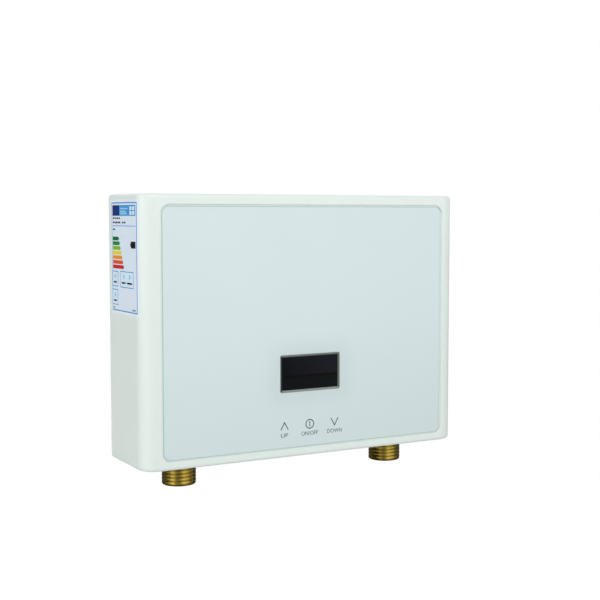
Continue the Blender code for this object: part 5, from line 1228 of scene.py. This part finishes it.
def window_cover(graph):
    """Solid in the middle of the display window's card and clear at its edges."""
    shares = []
    for axis, place, width in zip("XZ", CARD_PLACE, CARD_SIZE):
        reach = graph.maths("ABSOLUTE", graph.less(graph.part(axis), place))
        shares.append(graph.spread(reach, 1, 0, width / 2 - CARD_FADE, width / 2))
    return graph.maths("MULTIPLY", *shares)


def low_light(graph):
    """Brightness of the low card, dark under the heater and as the ring at its edge."""
    share = graph.spread(graph.reach(), *LOW_SHARES, *LOW_SPREAD)
    return graph.maths("ADD", graph.maths("MULTIPLY", ring_light(graph), share), LOW_LEAST)


def between_light(graph):
    """Brightness of the card between the fittings, dark toward the wall."""
    return graph.spread(graph.part("Y"), *BETWEEN_LIGHT, *BETWEEN_FADE)


def ring_light(graph):
    """Brightness round the ring, which fades into the white studio at its top."""
    east = graph.less(graph.part("X"), RING_CENTRE[0])
    north = graph.less(graph.part("Y"), RING_CENTRE[1])
    turn = graph.maths("ARCTAN2", north, east)
    start = math.radians(RING_LIGHT[0][0])
    turn = graph.maths("FLOORED_MODULO", graph.less(turn, start), math.tau)
    level = RING_LIGHT[0][1]
    for (first, before), (last, after) in zip(RING_LIGHT, RING_LIGHT[1:]):
        limits = (math.radians(first) - start, math.radians(last) - start)
        step = graph.spread(turn, 0, after - before, *limits)
        level = graph.maths("ADD", step, level)
    share = graph.spread(graph.part("Z"), 0, 1, RING_FADE, RING_HIGH)
    white = graph.maths("MULTIPLY", share, graph.less(1.0, level))
    return graph.maths("ADD", level, white)


def build_flag(mesh, brightness, cover=None):
    """A card that is seen by glossy surfaces alone."""
    flag = make(mesh.name, mesh, card_look(mesh.name, brightness, cover))
    for ray in ("camera", "diffuse", "transmission", "volume_scatter", "shadow"):
        setattr(flag, "visible_" + ray, False)


def build_flags():
    """Cards round, under and between the fittings for the brass, and one for the display window."""
    outline = circle(RING_REACH, 4 * FILLET_STEPS, RING_CENTRE)
    ring = loft("ring_card", [[(x, y, height) for x, y in outline] for height in (RING_LOW, RING_HIGH)],
                caps=False)
    build_flag(ring, ring_light)
    build_flag(prism("low_card", outline, RING_LOW, RING_LOW - OVERRUN, "z"), low_light)
    outline = rounded_rectangle(*CARD_SIZE, CARD_CORNER, CARD_PLACE)
    window = prism("window_card", outline, CARD_DEPTH, CARD_DEPTH - OVERRUN, "y")
    build_flag(window, CARD_LIGHT, window_cover)
    outline = rounded_rectangle(*BETWEEN_SIZE, BETWEEN_CORNER, BETWEEN_PLACE)
    build_flag(prism("middle_card", outline, BETWEEN_X, BETWEEN_X + OVERRUN, "x"), between_light)


# Everything

def dress_nodes():
    """Gives every CAD node the finish of its slot."""
    looks = inner_looks()
    looks.update(case_white=case_look(), plate_white=plate_look(), panel_glass=glass_look(),
                 smoked=display_look(), brass=brass_look(), trim_grey=trim_look())
    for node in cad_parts.values():
        for place in node.material_slots:
            place.material = looks[place.material.name.split(".")[0]]
    return looks


def build_all():
    looks = dress_nodes()
    build_studio()
    build_cover(looks["case_white"])
    build_fitting("inlet_fitting", INLET_SOCKET_RADIUS, looks["brass"])
    build_fitting("outlet_fitting", OUTLET_SOCKET_RADIUS, looks["brass"])
    build_pane(looks["panel_glass"])
    build_display(looks["trim_grey"], looks["smoked"])
    build_keys()
    build_label()
    for word in SCREW_WORDS:
        build_screw(word, looks["stainless"])


build_all()
